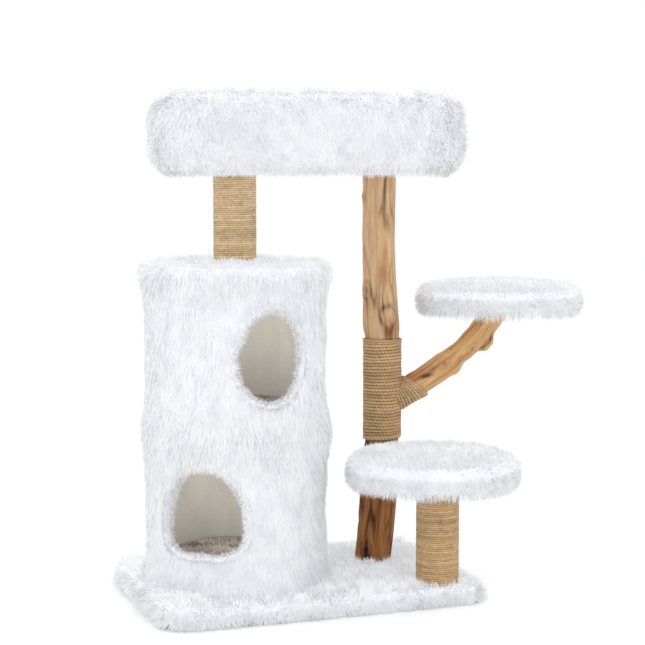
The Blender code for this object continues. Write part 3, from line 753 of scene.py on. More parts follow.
def den_lining(name):
    """Felt glued round the inside of one storey, with a sewn seam that stands up a little at the back."""
    low, high = span(f"{name}_condo_lining")
    radius = high[0] - CONDO[0]
    count, rows = 260, 60
    t = turns(count)
    seam_at = 39.0 if name == "upper" else 128.0
    z = np.linspace(low[2] + 0.0002, high[2] - 0.0002, rows)
    grid_t, grid_z = np.meshgrid(t, z)
    off = turn_from(grid_t, seam_at).reshape(grid_t.shape) * radius
    seam = 0.0013 * bell(off, 0.0022) - 0.0006 * bell(np.abs(off) - 0.0045, 0.0015)
    places = round_points((0, 0), radius, grid_t, grid_z).reshape(-1, 3)
    waves = smooth_noise(places, (0.035, 0.035, 0.09), 21).reshape(grid_t.shape)
    inner = round_points(CONDO, radius - 0.0013 - 0.0007 * (waves + 1) / 2 - seam, grid_t, grid_z)
    outer = round_points(CONDO, np.full_like(grid_t, radius), grid_t, grid_z)
    made = skin_rings(f"{name}_den_lining", np.concatenate([outer, inner[::-1]]), LINING, loop=True)
    cut(made, door_prism(DOORS[name], DOOR_ROLL))
    keep_piece(made, "lining", f"{name}_condo_lining")


def door_rim(name, seed):
    """Plush rolled over the wall's cut edge all round a doorway, with long hair hanging into the gap."""
    door = DOORS[name]
    outward, side, middle = door_axes(door)
    count, steps = 190, 18
    line = door_points(door, DOOR_ROLL, count)
    radius = CONDO_RADIUS - 0.0010
    depth = np.sqrt(radius ** 2 - line[:, 0] ** 2)
    path = middle + outward * depth[:, None] + side * line[:, :1] + UP * line[:, 1:]
    ahead = unit(np.roll(path, -1, axis=0) - np.roll(path, 1, axis=0))
    out = unit(flat_from(path, CONDO))
    inward = unit(np.cross(out, ahead))
    toward_middle = middle + outward * CONDO_RADIUS - path
    inward *= np.sign(np.einsum("ij,ij->i", inward, toward_middle))[:, None]
    t = turns(steps)
    lumps = 1 + 0.14 * smooth_noise(path, 0.018, seed)
    rings = (path[:, None] + out[:, None] * (np.cos(t)[None, :, None] * 0.0066)
             + inward[:, None] * (np.sin(t)[None, :, None] * 0.0046 * lumps[:, None, None]))
    made = skin_rings(f"{name}_door_rim_roll", rings, SKIN, loop=True)
    keep_piece(made, "plush", f"{name}_door_rim")
    places, up = scatter(made, 36, seed + 1, lambda p, n: (away_from(p, CONDO) > 0.156) * 1.0)
    local = places - (middle + outward * CONDO_RADIUS)
    to_middle = unit(-np.stack([local @ side, local[:, 2]], axis=1))
    inward_here = side * to_middle[:, :1] + UP * to_middle[:, 1:]
    facing = np.clip(np.einsum("ij,ij->i", up, inward_here), 0, 1)[:, None]
    hanging = np.clip(to_middle @ np.array([0.75, -0.66]), 0, 1) ** 2
    comb = (inward_here * (0.22 + 0.24 * facing + 0.30 * hanging[:, None]) - UP * 0.12
            + outward * 0.36)
    grow_fur(f"{name}_door_fringe", places, up, comb, FUR, 0.0120 + 0.006 * hanging, 0.0010, seed + 2,
             lift=0.45, droop=0.20, clump=0.85, spacing=0.0065, stray=0.34)


def condo_fur(shell):
    def side_share(places, up):
        away = door_distance(places)
        outside = np.einsum("ij,ij->i", places[:, :2] - CONDO, up[:, :2]) > 0
        return (outside & (away > 0.0) & (up[:, 2] < 0.75)) * 1.0

    places, up = scatter(shell, 28, 31, side_share)
    comb = downhill(up, 0.70) + swirl(places, up, 0.05, 33, 0.28) + toward_doors(places, up, 0.6)
    snug = sum(bell(places[:, 2] - z, 0.045) for z in (CONDO_BASE, CONDO_SEAM, CONDO_TOP - 0.01))
    grow_fur("condo_side_fur", places, up, comb, FUR, 0.019 + 0.005 * snug, 0.0010, 34,
             lift=0.27 + 0.45 * snug, droop=0.45, clump=0.45, spacing=0.011)

    def top_share(places, up):
        clear = away_from(places, TALL_POST) > POST_RADIUS + 0.003
        return ((up[:, 2] >= 0.70) & clear & (places[:, 2] > CONDO_TOP - 0.0105)) * 1.0

    places, up = scatter(shell, 28, 41, top_share)
    out = flat_from(places, CONDO)
    far = np.linalg.norm(out, axis=1, keepdims=True)
    comb = out / 0.17 * (far / 0.17) * 0.6 + swirl(places, up, 0.04, 43, 0.20)
    grow_fur("condo_top_fur", places, up, comb, CROWN_FUR, 0.015, 0.0010, 44, lift=0.75, spacing=0.008)


# --- padded pieces

def inflate(made, cap, pressure=4.0, voxel=0.006):
    """Fills a sewn shape: its cover swells under pressure until it has moved by cap at most."""
    remesh = made.modifiers.new("remesh", "REMESH")
    remesh.mode = "VOXEL"
    remesh.voxel_size = voxel
    fix_modifiers(made)
    before = mesh_arrays(made)[0]
    cloth = made.modifiers.new("cloth", "CLOTH")
    cloth.settings.use_pressure = True
    cloth.settings.uniform_pressure_force = pressure
    cloth.settings.effector_weights.gravity = 0.0
    cloth.settings.quality = 5
    cloth.point_cache.frame_start, cloth.point_cache.frame_end = 1, 20
    for step in range(1, 21):
        bpy.context.scene.frame_set(step)
    fix_modifiers(made)
    bpy.context.scene.frame_set(1)
    after = mesh_arrays(made)[0]
    moved = after - before
    far = np.linalg.norm(moved, axis=1, keepdims=True)
    after = before + moved * np.minimum(1.0, cap / np.maximum(far, 1e-9))
    set_points(made, after)


def subdivide(made):
    modifier = made.modifiers.new("smooth", "SUBSURF")
    modifier.levels = modifier.render_levels = 1
    fix_modifiers(made)
    made.data.shade_smooth()


def pull_inside(made, low_z, high_z, reach):
    """Keeps a swollen pad inside the room that its solid has: flat under, and reach gives the way in."""
    points = mesh_arrays(made)[0]
    points[:, 2] = np.clip(points[:, 2], low_z, high_z)
    points[:, :2] = reach(points)
    set_points(made, points)


def den_mat(name, raised, seed):
    low, high = span(f"{name}_den_mat")
    high = high + np.array([0, 0, raised])
    radius = high[0] - CONDO[0] - 0.001
    inner = [(0.004, low[2] + 0.001), (radius - 0.010, low[2] + 0.001)]
    middle_z, half = (low[2] + high[2]) / 2, (high[2] - low[2]) / 2
    side = arc_points((radius - 0.009, middle_z), 0.009, half - 0.003, -75, 75)
    top = [(radius - 0.016, high[2] - 0.0045), (0.004, high[2] - 0.003)]
    made = skin_rings(f"{name}_den_cushion", lathe_rings(CONDO, resample(inner + side + top, 0.004), 160),
                      MAT_SKIN)
    inflate(made, 0.004, 3.0)

    def reach(points):
        out = points[:, :2] - CONDO
        far = np.linalg.norm(out, axis=1, keepdims=True)
        return CONDO + out * np.minimum(1.0, radius / np.maximum(far, 1e-9))

    pull_inside(made, low[2] + 0.0002, high[2] + 0.002, reach)
    subdivide(made)
    keep_piece(made, "mat", f"{name}_den_mat")
    places, up = scatter(made, 56, seed, lambda p, n: (n[:, 2] > 0.2) * 1.0)
    comb = swirl(places, up, 0.03, seed + 1, 0.15)
    grow_fur(f"{name}_den_pile", places, up, comb, MAT_FUR, 0.012, 0.0011, seed + 2, lift=1.0, droop=0.10,
             clump=0.0, spacing=0.009, wander=0.12, lowest=0.0, slot="mat")


# --- bed

BED = (BED_LOW[:2] + BED_HIGH[:2]) / 2
BED_HALF = (BED_HIGH[:2] - BED_LOW[:2]) / 2


def oval_ring(inset, z, steps=300):
    x, y, _ = rounded_outline(1441, BED_POWER, *(BED_HALF - inset))
    line = even_points(np.stack([x, y], axis=1), steps)
    return np.stack([BED[0] + line[:, 0], BED[1] + line[:, 1], np.full(steps, z)], axis=1)


def bed_inset(places):
    """How far inside the bed's outline each place is, roughly."""
    local = np.abs(places[:, :2] - BED)
    size = (local[:, 0] / BED_HALF[0]) ** BED_POWER + (local[:, 1] / BED_HALF[1]) ** BED_POWER
    return (1 - size ** (1 / BED_POWER)) * BED_HALF.mean()


def bed_pile():
    base, top = BED_LOW[2], BED_HIGH[2]
    board_top = float(span("bed_board")[1][2])
    half = BED_RIM / 2
    under = [(inset, base) for inset in np.linspace(BED_HOLE, 0.058, 15)]
    outside = arc_points((BED_FOOT, base + BED_FOOT), -BED_FOOT, -BED_FOOT, 90, 0, 12)
    side = [(0.0, z) for z in np.linspace(base + BED_FOOT, top - BED_ROUND, 14)[1:-1]]
    crown = arc_points((half, top - BED_ROUND), -half, BED_ROUND, 0, 180, 22)
    inner = [(BED_RIM, z) for z in np.linspace(top - BED_ROUND, board_top + 0.0006, 12)[1:]]
    skin = under + outside + side + crown + inner
    thin = 0.0028
    back = [(BED_RIM - thin, board_top + 0.0006)]
    back += arc_points((half, top - BED_ROUND), -(half - thin), BED_ROUND - thin, 180, 0, 14)
    back += arc_points((BED_FOOT, base + BED_FOOT), thin - BED_FOOT, thin - BED_FOOT, 0, 90, 8)
    back += [(BED_HOLE, base + thin)]
    rings = np.stack([oval_ring(inset, z) for inset, z in skin + back])
    shape = rings[:len(skin)].reshape(-1, 3)
    height = (shape[:, 2] - base) / (top - base)
    out = flat_from(shape, BED)
    fold = np.clip(height / 0.15, 0, 1)
    swelling = smooth_noise(shape, (0.05, 0.05, 0.05), 51) * 0.0030 + 0.0030
    outer_side = bed_inset(shape) < BED_RIM / 2
    shape += unit(out) * (swelling * fold * np.where(outer_side, 1.0, -0.6))[:, None]
    shape[:, 2] += np.where(height > 0.8, smooth_noise(shape, 0.06, 53) * 0.0020 - 0.0005, 0)
    rings[:len(skin)] = shape.reshape(len(skin), -1, 3)
    made = skin_rings("bed_plush_skin", rings, SKIN)
    keep_piece(made, "plush", "bed_plush_cover")

    def outer_share(places, up):
        return ((up[:, 2] > -0.93) & (bed_inset(places) < BED_RIM / 2) & (up[:, 2] < 0.75)) * 1.0

    places, up = scatter(made, 28, 61, outer_share)
    comb = downhill(up, 0.45) + swirl(places, up, 0.06, 63, 0.30)
    underneath = np.clip(-up[:, 2], 0, 1)
    grow_fur("bed_side_fur", places, up, comb, FUR, 0.016 - 0.002 * underneath, 0.0010, 64, lift=0.62,
             droop=0.25 - 0.05 * underneath[:, None], wander=0.28)

    def inner_share(places, up):
        inset = bed_inset(places)
        top_face = (up[:, 2] >= 0.75) & (inset > 0.004) & (places[:, 2] > top - 0.03)
        inner_face = (inset >= BED_RIM / 2) & (places[:, 2] > board_top + 0.02) & (up[:, 2] < 0.75)
        return top_face * 1.0 + inner_face * 0.8

    places, up = scatter(made, 28, 71, inner_share)
    comb = swirl(places, up, 0.05, 73, 0.30) + downhill(up, 0.2)
    grow_fur("bed_rim_fur", places, up, comb, CROWN_FUR, 0.013, 0.0010, 74, lift=0.60, droop=0.15,
             spacing=0.008)


def bed_cushion():
    low, high = span("bed_cushion")
    side = BED_RIM + 0.006
    ring_line = [(0.19, low[2] + 0.001), (side + 0.012, low[2] + 0.001)]
    middle_z = (low[2] + high[2]) / 2
    ring_line += arc_points((side + 0.010, middle_z), -0.010, 0.013, -75, 75)
    ring_line += [(side + 0.022, high[2] - 0.006), (0.19, high[2] - 0.002)]
    rings = np.stack([oval_ring(inset, z, 200) for inset, z in resample(ring_line, 0.005)])
    made = skin_rings("bed_inner_cushion", rings, SKIN)
    inflate(made, 0.008, 4.0)

    def reach(points):
        inset = bed_inset(points)
        share = np.clip((side - inset) / BED_HALF.mean(), 0, 1)[:, None]
        return BED + (points[:, :2] - BED) * (1 - share)

    pull_inside(made, low[2] + 0.0002, high[2] + 0.010, reach)
    subdivide(made)
    keep_piece(made, "plush", "bed_cushion")
    places, up = scatter(made, 22, 81, lambda p, n: (n[:, 2] > 0.15) * 1.0)
    comb = swirl(places, up, 0.05, 83, 0.8)
    grow_fur("bed_cushion_fur", places, up, comb, CROWN_FUR, 0.012, 0.0010, 84, lift=0.6, droop=0.2,
             spacing=0.008)


# --- platforms

def platform(name, raised, seed):
    low, high = span(f"{name}_platform_cover")
    centre = (low + high)[:2] / 2
    radius = (high[0] - low[0]) / 2
    half = (high[2] - low[2]) / 2
    under = [(0.004, low[2]), (radius - 0.036, low[2])]
    corner = arc_points((radius - 0.013, low[2] + 0.010), 0.013, 0.012, -90, 0, 8)
    over = arc_points((radius - 0.015, high[2] - 0.011), 0.015, 0.0145 + raised, 0, 90)
    crown = [(r, high[2] + 0.0035 + raised + 0.0070 * (1 - (r / (radius - 0.015)) ** 2))
             for r in np.linspace(radius - 0.022, 0.004, 16)]
    rings = lathe_rings(centre, resample(under + corner + over + crown, 0.0042), 200)
    flat = rings.reshape(-1, 3)
    out = flat_from(flat, centre)
    near = np.clip((np.linalg.norm(out, axis=1) - radius + 0.03) / 0.03, 0, 1)
    flat += unit(out) * ((smooth_noise(flat, 0.035, seed) * 0.0015 + 0.0005) * near)[:, None]
    flat[:, 2] += np.where(flat[:, 2] > low[2] + half, smooth_noise(flat, 0.03, seed + 1) * 0.0012, 0)
    made = skin_rings(f"{name}_platform_skin", flat.reshape(rings.shape), SKIN)
    keep_piece(made, "plush", f"{name}_platform_cover", f"{name}_platform_pad", f"{name}_platform_underside")

    places, up = scatter(made, 32, seed + 2, lambda p, n: (n[:, 2] > -0.98) * 1.0)
    out = flat_from(places, centre)
    far = np.linalg.norm(out, axis=1, keepdims=True) / radius
    comb = unit(out) * np.clip(far - 0.5, 0, 1) * 0.35 + swirl(places, up, 0.05, seed + 3, 0.14)
    low_edge = np.clip(0.5 - up[:, 2], 0, 1)
    comb += np.array([0, 0, -0.6]) * low_edge[:, None]
    shoulder = np.clip(1 - np.abs(up[:, 2] - 0.65) / 0.35, 0, 1)
    length = 0.0140 + 0.0055 * low_edge - 0.0035 * shoulder
    on_top = up[:, 2] > 0.15
    for part, kept, material in (("rim", ~on_top, FUR), ("top", on_top, CROWN_FUR)):
        grow_fur(f"{name}_platform_{part}_fur", places[kept], up[kept], comb[kept], material,
                 length[kept], 0.0009, seed + 4, lift=0.80, droop=0.20, clump=0.28, spacing=0.007, stray=0.28,
                 wander=0.18)


# --- base

def rounded_ring(inset, z, steps=320):
    half = (BASE_HIGH - BASE_LOW)[:2] / 2 - inset
    radius = max(BASE_CORNER - inset, 0.003)
    corners = []
    for quarter, (sx, sy) in enumerate(((1, 1), (-1, 1), (-1, -1), (1, -1))):
        t = np.radians(np.linspace(90 * quarter, 90 * quarter + 90, 17))
        corners.append(np.stack([sx * (half[0] - radius) + radius * np.cos(t),
                                 sy * (half[1] - radius) + radius * np.sin(t)], axis=1))
    line = even_points(np.concatenate(corners + [corners[0][:1]]), steps)
    return np.concatenate([line, np.full((steps, 1), z)], axis=1)


def base_pile():
    top = BASE_HIGH[2]
    hem = 0.036
    profile = [(hem, 0.0002), (hem * 0.5, 0.0002), (0.004, 0.0002), (0.001, 0.002)]
    profile += [(0.0, z) for z in np.linspace(0.005, top - 0.009, 5)]
    profile += arc_points((0.009, top - 0.009), -0.009, 0.009, 15, 90, 6)
    profile += [(inset, top) for inset in np.linspace(0.014, 0.196, 32)]
    back = [(0.196, top - PILE_BACKING), (0.0060, top - PILE_BACKING), (0.0042, top - 0.006),
            (0.0042, 0.0031), (hem, 0.0031)]
    rings = np.stack([rounded_ring(inset, z) for inset, z in profile])
    flat = rings.reshape(-1, 3)
    side = np.clip(1 - (np.abs(flat[:, 2] - top / 2) / (top / 2)) ** 2, 0, 1)
    out = unit(flat * np.array([1, 1.5, 0]))
    flat += out * ((smooth_noise(flat, 0.04, 91) * 0.002 + 0.007) * side)[:, None]
    raised = np.clip((flat[:, 2] - top * 0.5) / (top * 0.5), 0, 1)
    left_end = np.clip((-flat[:, 0] - 0.20) / 0.08, 0, 1)
    flat[:, 2] += raised * (0.0045 + 0.0100 * left_end + 0.0015 * smooth_noise(flat, 0.04, 92))
    inner = np.stack([rounded_ring(inset, z) for inset, z in back])
    made = skin_rings("base_plush_skin", np.concatenate([flat.reshape(rings.shape), inner])[:-1], SKIN,
                      capped=False)
    close_base(made)
    keep_piece(made, "plush", "base_plush_cover")

    def share(places, up):
        keep = up[:, 2] > -0.7
        keep &= away_from(places, CONDO) > CONDO_RADIUS + 0.001
        keep &= away_from(places, SHORT_POST) > POST_RADIUS + 0.002
        keep &= away_from(places, trunk_centre(np.array(top))) > TRUNK_RADIUS + 0.005
        return keep * 1.0

    places, up = scatter(made, 28, 93, share)
    edge = np.clip(1 - up[:, 2:3], 0, 1)
    comb = swirl(places, up, 0.05, 95, 0.30) + downhill(up, 0.30) * edge
    edge = edge[:, 0]
    on_top = up[:, 2] > 0.55
    for part, kept, material in (("edge", ~on_top, FUR), ("top", on_top, CROWN_FUR)):
        grow_fur(f"base_{part}_fur", places[kept], up[kept], comb[kept], material,
                 0.020 + 0.005 * edge[kept], 0.0010, 96, lift=0.70 + 0.2 * edge[kept], droop=0.22)


def close_base(made):
    """Closes the two open ends of the base's plush."""
    work = bmesh.new()
    work.from_mesh(made.data)
    bmesh.ops.holes_fill(work, edges=[edge for edge in work.edges if edge.is_boundary], sides=0)
    bmesh.ops.recalc_face_normals(work, faces=work.faces)
    work.to_mesh(made.data)
    work.free()
    made.data.shade_smooth()


# --- wood

def past_wrap(z):
    """How far a height lies below and above the rope wrap."""
    return np.maximum(0.0, WRAP_BOTTOM - z), np.maximum(0.0, z - WRAP_TOP)


def trunk_centre(z):
    below, above = past_wrap(z)
    drift = 0.075 * below + 0.006 * (1 - np.exp(-above / 0.05)) + 0.008 * above
    return np.stack([TRUNK[0] - drift, np.full_like(drift, TRUNK[1])], axis=-1)


def trunk_radius(z, turn):
    below, above = past_wrap(z)
    bare = np.minimum(1.0, (below + above) / 0.03)
    waves = 0.0012 * np.sin(2 * turn + 17 * z) + 0.0008 * np.sin(3 * turn - 29 * z)
    swelling = 0.0032 * np.minimum(1.0, below / 0.03)
    swelling = swelling + 0.0030 * np.minimum(1.0, above / 0.02) * np.exp(-above / 0.06)
    return TRUNK_RADIUS + bare * waves + swelling


# Height, direction in degrees, how far it stands out, its width and how dark it is.
TRUNK_KNOTS = (
    (0.757, 192, 0.0048, 0.0080, 0.5),
    (0.574, 198, 0.0048, 0.014, 1.0),
    (0.157, 196, 0.0042, 0.012, 0.4),
    (0.062, 221, 0.0034, 0.012, 1.3),
    (0.690, 20, 0.0040, 0.014, 0.7),
    (0.610, 110, 0.0045, 0.016, 0.6),
    (0.110, 70, 0.0040, 0.014, 0.7),
)


# Where a limb was sawn off the trunk: height, direction in degrees, and half its width and its height.
SCAR = (0.523, 273, 0.0150, 0.024)


def trunk(name, node, z0, z1, groove, groove_shade, colours, material):
    """A peeled trunk: grain ridges and long grooves drawn out along it, with painted shade down in the
    grooves, and knots with dark rings.
    """
    columns, rows = 190, int((z1 - z0) / 0.0022)
    z, t = np.meshgrid(np.linspace(z0, z1, rows), turns(columns), indexing="ij")
    radius = trunk_radius(z, t)
    centre = trunk_centre(z)
    round_places = round_points((0, 0), TRUNK_RADIUS, t, z).reshape(-1, 3)
    bare = np.clip(sum(past_wrap(z)) / 0.02, 0, 1).reshape(-1)
    wander = smooth_noise(round_places, (0.05, 0.05, 0.05), 101)
    twisted = round_places + np.stack([wander * 0.004, -wander * 0.004, np.zeros_like(wander)], axis=1)
    long_grain = smooth_noise(twisted, (0.0085, 0.0085, 0.085), 103)
    fine_grain = smooth_noise(twisted, (0.0030, 0.0030, 0.034), 107)
    crack = np.clip(0.30 - np.abs(long_grain), 0, 1) / 0.30
    crack *= np.clip(smooth_noise(round_places, (0.02, 0.02, 0.06), 109) + 0.35, 0, 1)
    out = -groove * crack ** 1.5 + 0.0005 * fine_grain + 0.0010 * smooth_noise(round_places, 0.022, 113)
    # Painted shade: the colour darkens down in the grooves.
    dark = groove_shade * crack
    for at_z, at_turn, height, spread, darkness in TRUNK_KNOTS:
        around = turn_from(t, at_turn) * TRUNK_RADIUS
        up = z.reshape(-1) - at_z
        far = np.sqrt((around * 1.15) ** 2 + (up * 0.85) ** 2) / spread
        rings = np.cos(np.minimum(far, 3) * 9.0) * bell(far, 1) * 0.0007
        out = out + height * bell(far, 1) - height * 0.55 * bell(far, 0.38) + rings
        patchy = 0.75 + 0.5 * smooth_noise(round_places, 0.008, 138)
        dark = dark + darkness * patchy * (bell(far, 0.50) + 0.40 * bell(far - 1.0, 0.28))
        dark = dark + darkness * 0.35 * bell(around, spread * 0.6) * bell(up + spread * 1.6, spread * 1.6)
    across = turn_from(t, SCAR[1]) * TRUNK_RADIUS / SCAR[2]
    scar_up = (z.reshape(-1) - SCAR[0]) / SCAR[3]
    scar = np.sqrt(across ** 2 + scar_up ** 2)
    out = out + 0.0036 * bell(scar - 0.95, 0.30) + 0.0012 * np.exp(-scar ** 4)
    healed = np.exp(-(scar / 0.72) ** 4)
    broken = np.clip(0.85 + 0.6 * smooth_noise(round_places, 0.011, 139), 0, 1)
    dark = dark * (1 - 0.8 * healed) + 0.66 * broken * bell(scar - 0.92, 0.24)
    dark = dark + 0.45 * broken * bell(across - 0.1, 0.35) * bell(scar_up + 0.30, 0.25)
    dark = dark + 0.55 * bell(across, 0.75) * bell(scar_up + 1.30, 0.40)
    radius = radius + (out * bare).reshape(radius.shape)
    made = skin_rings(name, round_points(np.moveaxis(centre, -1, 0), radius, t, z), material)
    pale, brown, deep = (np.array(colour) for colour in colours)
    streak = smooth_noise(twisted, (0.012, 0.012, 0.11), 127) * 0.5
    streak = streak + smooth_noise(twisted, (0.005, 0.005, 0.05), 131) * 0.35
    patch = smooth_noise(round_places, (0.03, 0.03, 0.07), 137)
    shade = blend_colours(np.tile(pale, (len(streak), 1)), brown, (streak + 0.4 * patch - 0.02) * 2.0)
    shade = blend_colours(shade, pale, 0.7 * healed)
    shade = blend_colours(shade, deep, dark)
    tint(made, shade * (1 + 0.10 * fine_grain[:, None]))
    set_grain(made, round_places)
    keep_piece(made, "wood" if name == "upper_trunk_wood" else "dark_wood", node)


def branch_curve(t):
    """Places on the branch's middle line and its directions there, for t from 0 at the trunk to 1."""
    root = np.array([*TRUNK, 0.340])
    reach = BRANCH_TIP - root
    first = root + reach * np.array([0.30, 0.30, 0.26])
    second = BRANCH_TIP - reach * np.array([0.27, 0.27, 0.56])
    a, b = (1 - t)[:, None], t[:, None]
    point = root * a ** 3 + first * 3 * a * a * b + second * 3 * a * b * b + BRANCH_TIP * b ** 3
    along = (first - root) * 3 * a * a + (second - first) * 6 * a * b + (BRANCH_TIP - second) * 3 * b * b
    return point, unit(along)


def branch_radius(t):
    before_twig = 1 / (1 + np.exp((t - 0.60) / 0.02))
    return 0.0218 + 0.0040 * before_twig + 0.0040 * np.maximum(0.0, (t - 0.7) / 0.3)


def on_branch(t, turn, grow):
    """Places round the branch: t is the curve value, turn the angle, with 0 on the near side and a quarter
    turn on top, and grow is added to the radius. Each is an array of the same shape."""
    point, along = branch_curve(t.reshape(-1))
    side = unit(np.cross(along, np.array([0, 0, 1.0])))
    over = unit(np.cross(side, along))
    reach = (branch_radius(t) + grow).reshape(-1, 1)
    flat_turn = turn.reshape(-1, 1)
    places = point + (side * np.cos(flat_turn) + over * np.sin(flat_turn)) * reach
    return places.reshape(*t.shape, 3), along.reshape(*t.shape, 3)


BRANCH_LONG, BRANCH_ROUND = 0.31, 0.022


def rope_hollow(t, turn):
    """The branch and its rope are drawn in on the underside, close to the trunk."""
    return -0.0085 * np.clip(-np.sin(turn), 0, 1) * np.clip(1 - (t - 0.08) / 0.24, 0, 1)


# Curve value, angle in degrees, how far it stands out, its width, how much longer than wide, how dark it is.
BRANCH_KNOTS = (
    (0.565, 268, 0.0048, 0.010, 1.2, 0.5),
    (0.52, 20, 0.0024, 0.010, 1.2, 0.6),
    (0.62, 60, 0.0030, 0.010, 1.0, 0.6),
    (0.72, 345, 0.0015, 0.0080, 1.5, 0.7),
)
# The stub of a twig, cut flat where its bump passes STUB_FLAT of its height.
STUB_SHARE, STUB_TURN, STUB_HEIGHT, STUB_SPREAD, STUB_FLAT = 0.805, 275, 0.0125, 0.0150, 0.86


def branch():
    columns, rows = 150, 210
    t, turn = np.meshgrid(np.linspace(0.07, 0.92, rows), turns(columns), indexing="ij")
    along_m = (t * BRANCH_LONG).reshape(-1)
    flat = round_points((0, 0), BRANCH_ROUND, turn.reshape(-1), along_m)
    long_grain = smooth_noise(flat, (0.007, 0.007, 0.06), 141)
    fine_grain = smooth_noise(flat, (0.0028, 0.0028, 0.03), 143)
    crack = np.clip(0.24 - np.abs(long_grain), 0, 1) / 0.24
    crack *= np.clip(smooth_noise(flat, (0.015, 0.015, 0.05), 147) + 0.2, 0, 1)
    out = -0.0016 * crack ** 1.5 + 0.0005 * fine_grain + 0.0012 * smooth_noise(flat, 0.018, 149)
    # Painted shade: the colour darkens down in the cracks.
    dark = 0.7 * crack

    def offsets(share, at_turn):
        """How far each place lies from one on the branch, round it and along it."""
        return turn_from(turn, at_turn) * BRANCH_ROUND, along_m - share * BRANCH_LONG

    for share, at_turn, height, spread, longer, darkness in BRANCH_KNOTS:
        around, along_off = offsets(share, at_turn)
        far = np.sqrt(around ** 2 + (along_off / longer) ** 2) / spread
        out = out + height * bell(far, 1) - height * 0.5 * bell(far, 0.4)
        dark = dark + darkness * (0.7 * bell(far, 0.45) + 0.2 * bell(far - 1, 0.3))
    around, along_off = offsets(0.375, 22)
    cleft = bell(around + 0.25 * along_off, 0.0034) * bell(along_off, 0.0125)
    out = out - 0.0016 * cleft
    # The cleft is cut in and also painted dark, painted shade.
    dark = dark + 1.2 * cleft
    around, along_off = offsets(STUB_SHARE, STUB_TURN)
    stub = np.exp(-((around ** 2 + along_off ** 2) / STUB_SPREAD ** 2) ** 1.5)
    out = out + STUB_HEIGHT * np.minimum(stub, STUB_FLAT) / STUB_FLAT
    dark = dark + 0.55 * bell(stub - 0.30, 0.20) + 0.35 * (stub > STUB_FLAT)
    rings, along = on_branch(t, turn, out.reshape(rows, columns) + rope_hollow(t, turn))
    along = along[:, 0]
    flat_z = BRANCH_TIP[2]
    top = rings[-1]
    rings[-1] = top + along[-1] * ((flat_z - top[:, 2]) / along[-1][2])[:, None]
    last = rings[-1].copy()
    for back in range(2, 14):
        limit = flat_z - 0.0004 * (back - 1)
        over = rings[-back][:, 2] > limit
        rings[-back][over] = last[over] + (rings[-back][over] - last[over]) * 0.2
        rings[-back][over, 2] = np.minimum(rings[-back][over, 2], limit)
    made = skin_rings("branch_wood", rings, UPPER_WOOD)
    streak = smooth_noise(flat, (0.009, 0.009, 0.09), 151) * 0.6
    streak = streak + smooth_noise(flat, (0.004, 0.004, 0.04), 153) * 0.3
    pale = np.tile(srgb(216, 174, 122), (len(streak), 1))
    shade = blend_colours(pale, srgb(176, 120, 70), (streak + 0.05) * 1.3)
    shade = blend_colours(shade, srgb(96, 56, 28), dark)
    top_side = np.clip(np.sin(turn.reshape(-1)) - 0.2, 0, 1) * np.clip(1 - along_m / 0.17, 0, 1)
    shade = blend_colours(shade, srgb(146, 80, 44), 1.9 * top_side)
    tint(made, shade * (1 + 0.10 * fine_grain[:, None]))
    set_grain(made, flat)
    keep_piece(made, "branch_wood", "branch")


# --- rope

def winding(z, t, pitch, length, low):
    """Height from 0 to 1 of rope wound round a post, level at its two ends, and the number of each turn."""
    lead = np.clip((z - low) / (pitch * 1.2), 0, 1) * np.clip((low + length - z) / (pitch * 1.2), 0, 1)
    wound = (z - low) / pitch - lead * t / (2 * math.pi)
    share = wound - np.floor(wound)
    return np.sqrt(np.clip(1 - (2 * share - 1) ** 2, 0, 1)), wound


def ply_lines(wound, around, pitch):
    """From 0 to 1 on the slanting lines between the plies of one rope."""
    slant = around / (pitch * 1.15) + (wound - np.floor(wound)) * 0.9 + 0.37 * np.floor(wound)
    return (0.5 + 0.5 * np.cos(slant * 2 * math.pi)) ** 2


def rope_colours(height, plies, wound, flat, light, gap_shade, seed):
    rng = np.random.default_rng(seed)
    batch = rng.uniform(-1, 1, 400)
    number = np.floor(wound).astype(int)
    turn_shade = batch[number % 400]
    # Painted shade: the colour goes darker towards the gap colour down between the turns.
    gaps = np.clip(height, 0, 1) ** (1.05 + 0.45 * batch[(number + 57) % 400])
    # Painted shade as well: the colour is darker along the lines between the plies.
    colour = blend_colours(np.tile(gap_shade, (len(height), 1)), light, gaps * (1 - 0.42 * plies))
    mottled = 0.13 * smooth_noise(flat, (0.010, 0.010, 0.004), seed + 1)
    mottled = mottled + 0.17 * smooth_noise(flat, 0.0030, seed + 2)
    return colour * (1.06 + 0.15 * turn_shade + mottled)[:, None]


def rope_piece(name, rings, flat, wound_rope, light, gap_shade, seed, slot, node):
    """rings is the wound side and then two rings of the inside; wound_rope is the height, the ply lines
    and the number of the turn at each place of the wound side."""
    made = skin_rings(name, rings, ROPE, loop=True)
    height, plies, wound = (values.reshape(-1) for values in wound_rope)
    colours = rope_colours(height, plies, wound, flat, light, gap_shade, seed)
    # The inside rings take the gap colour, painted shade.
    tint(made, np.concatenate([colours, np.tile(gap_shade, (2 * rings.shape[1], 1))]))
    keep_piece(made, slot, node)


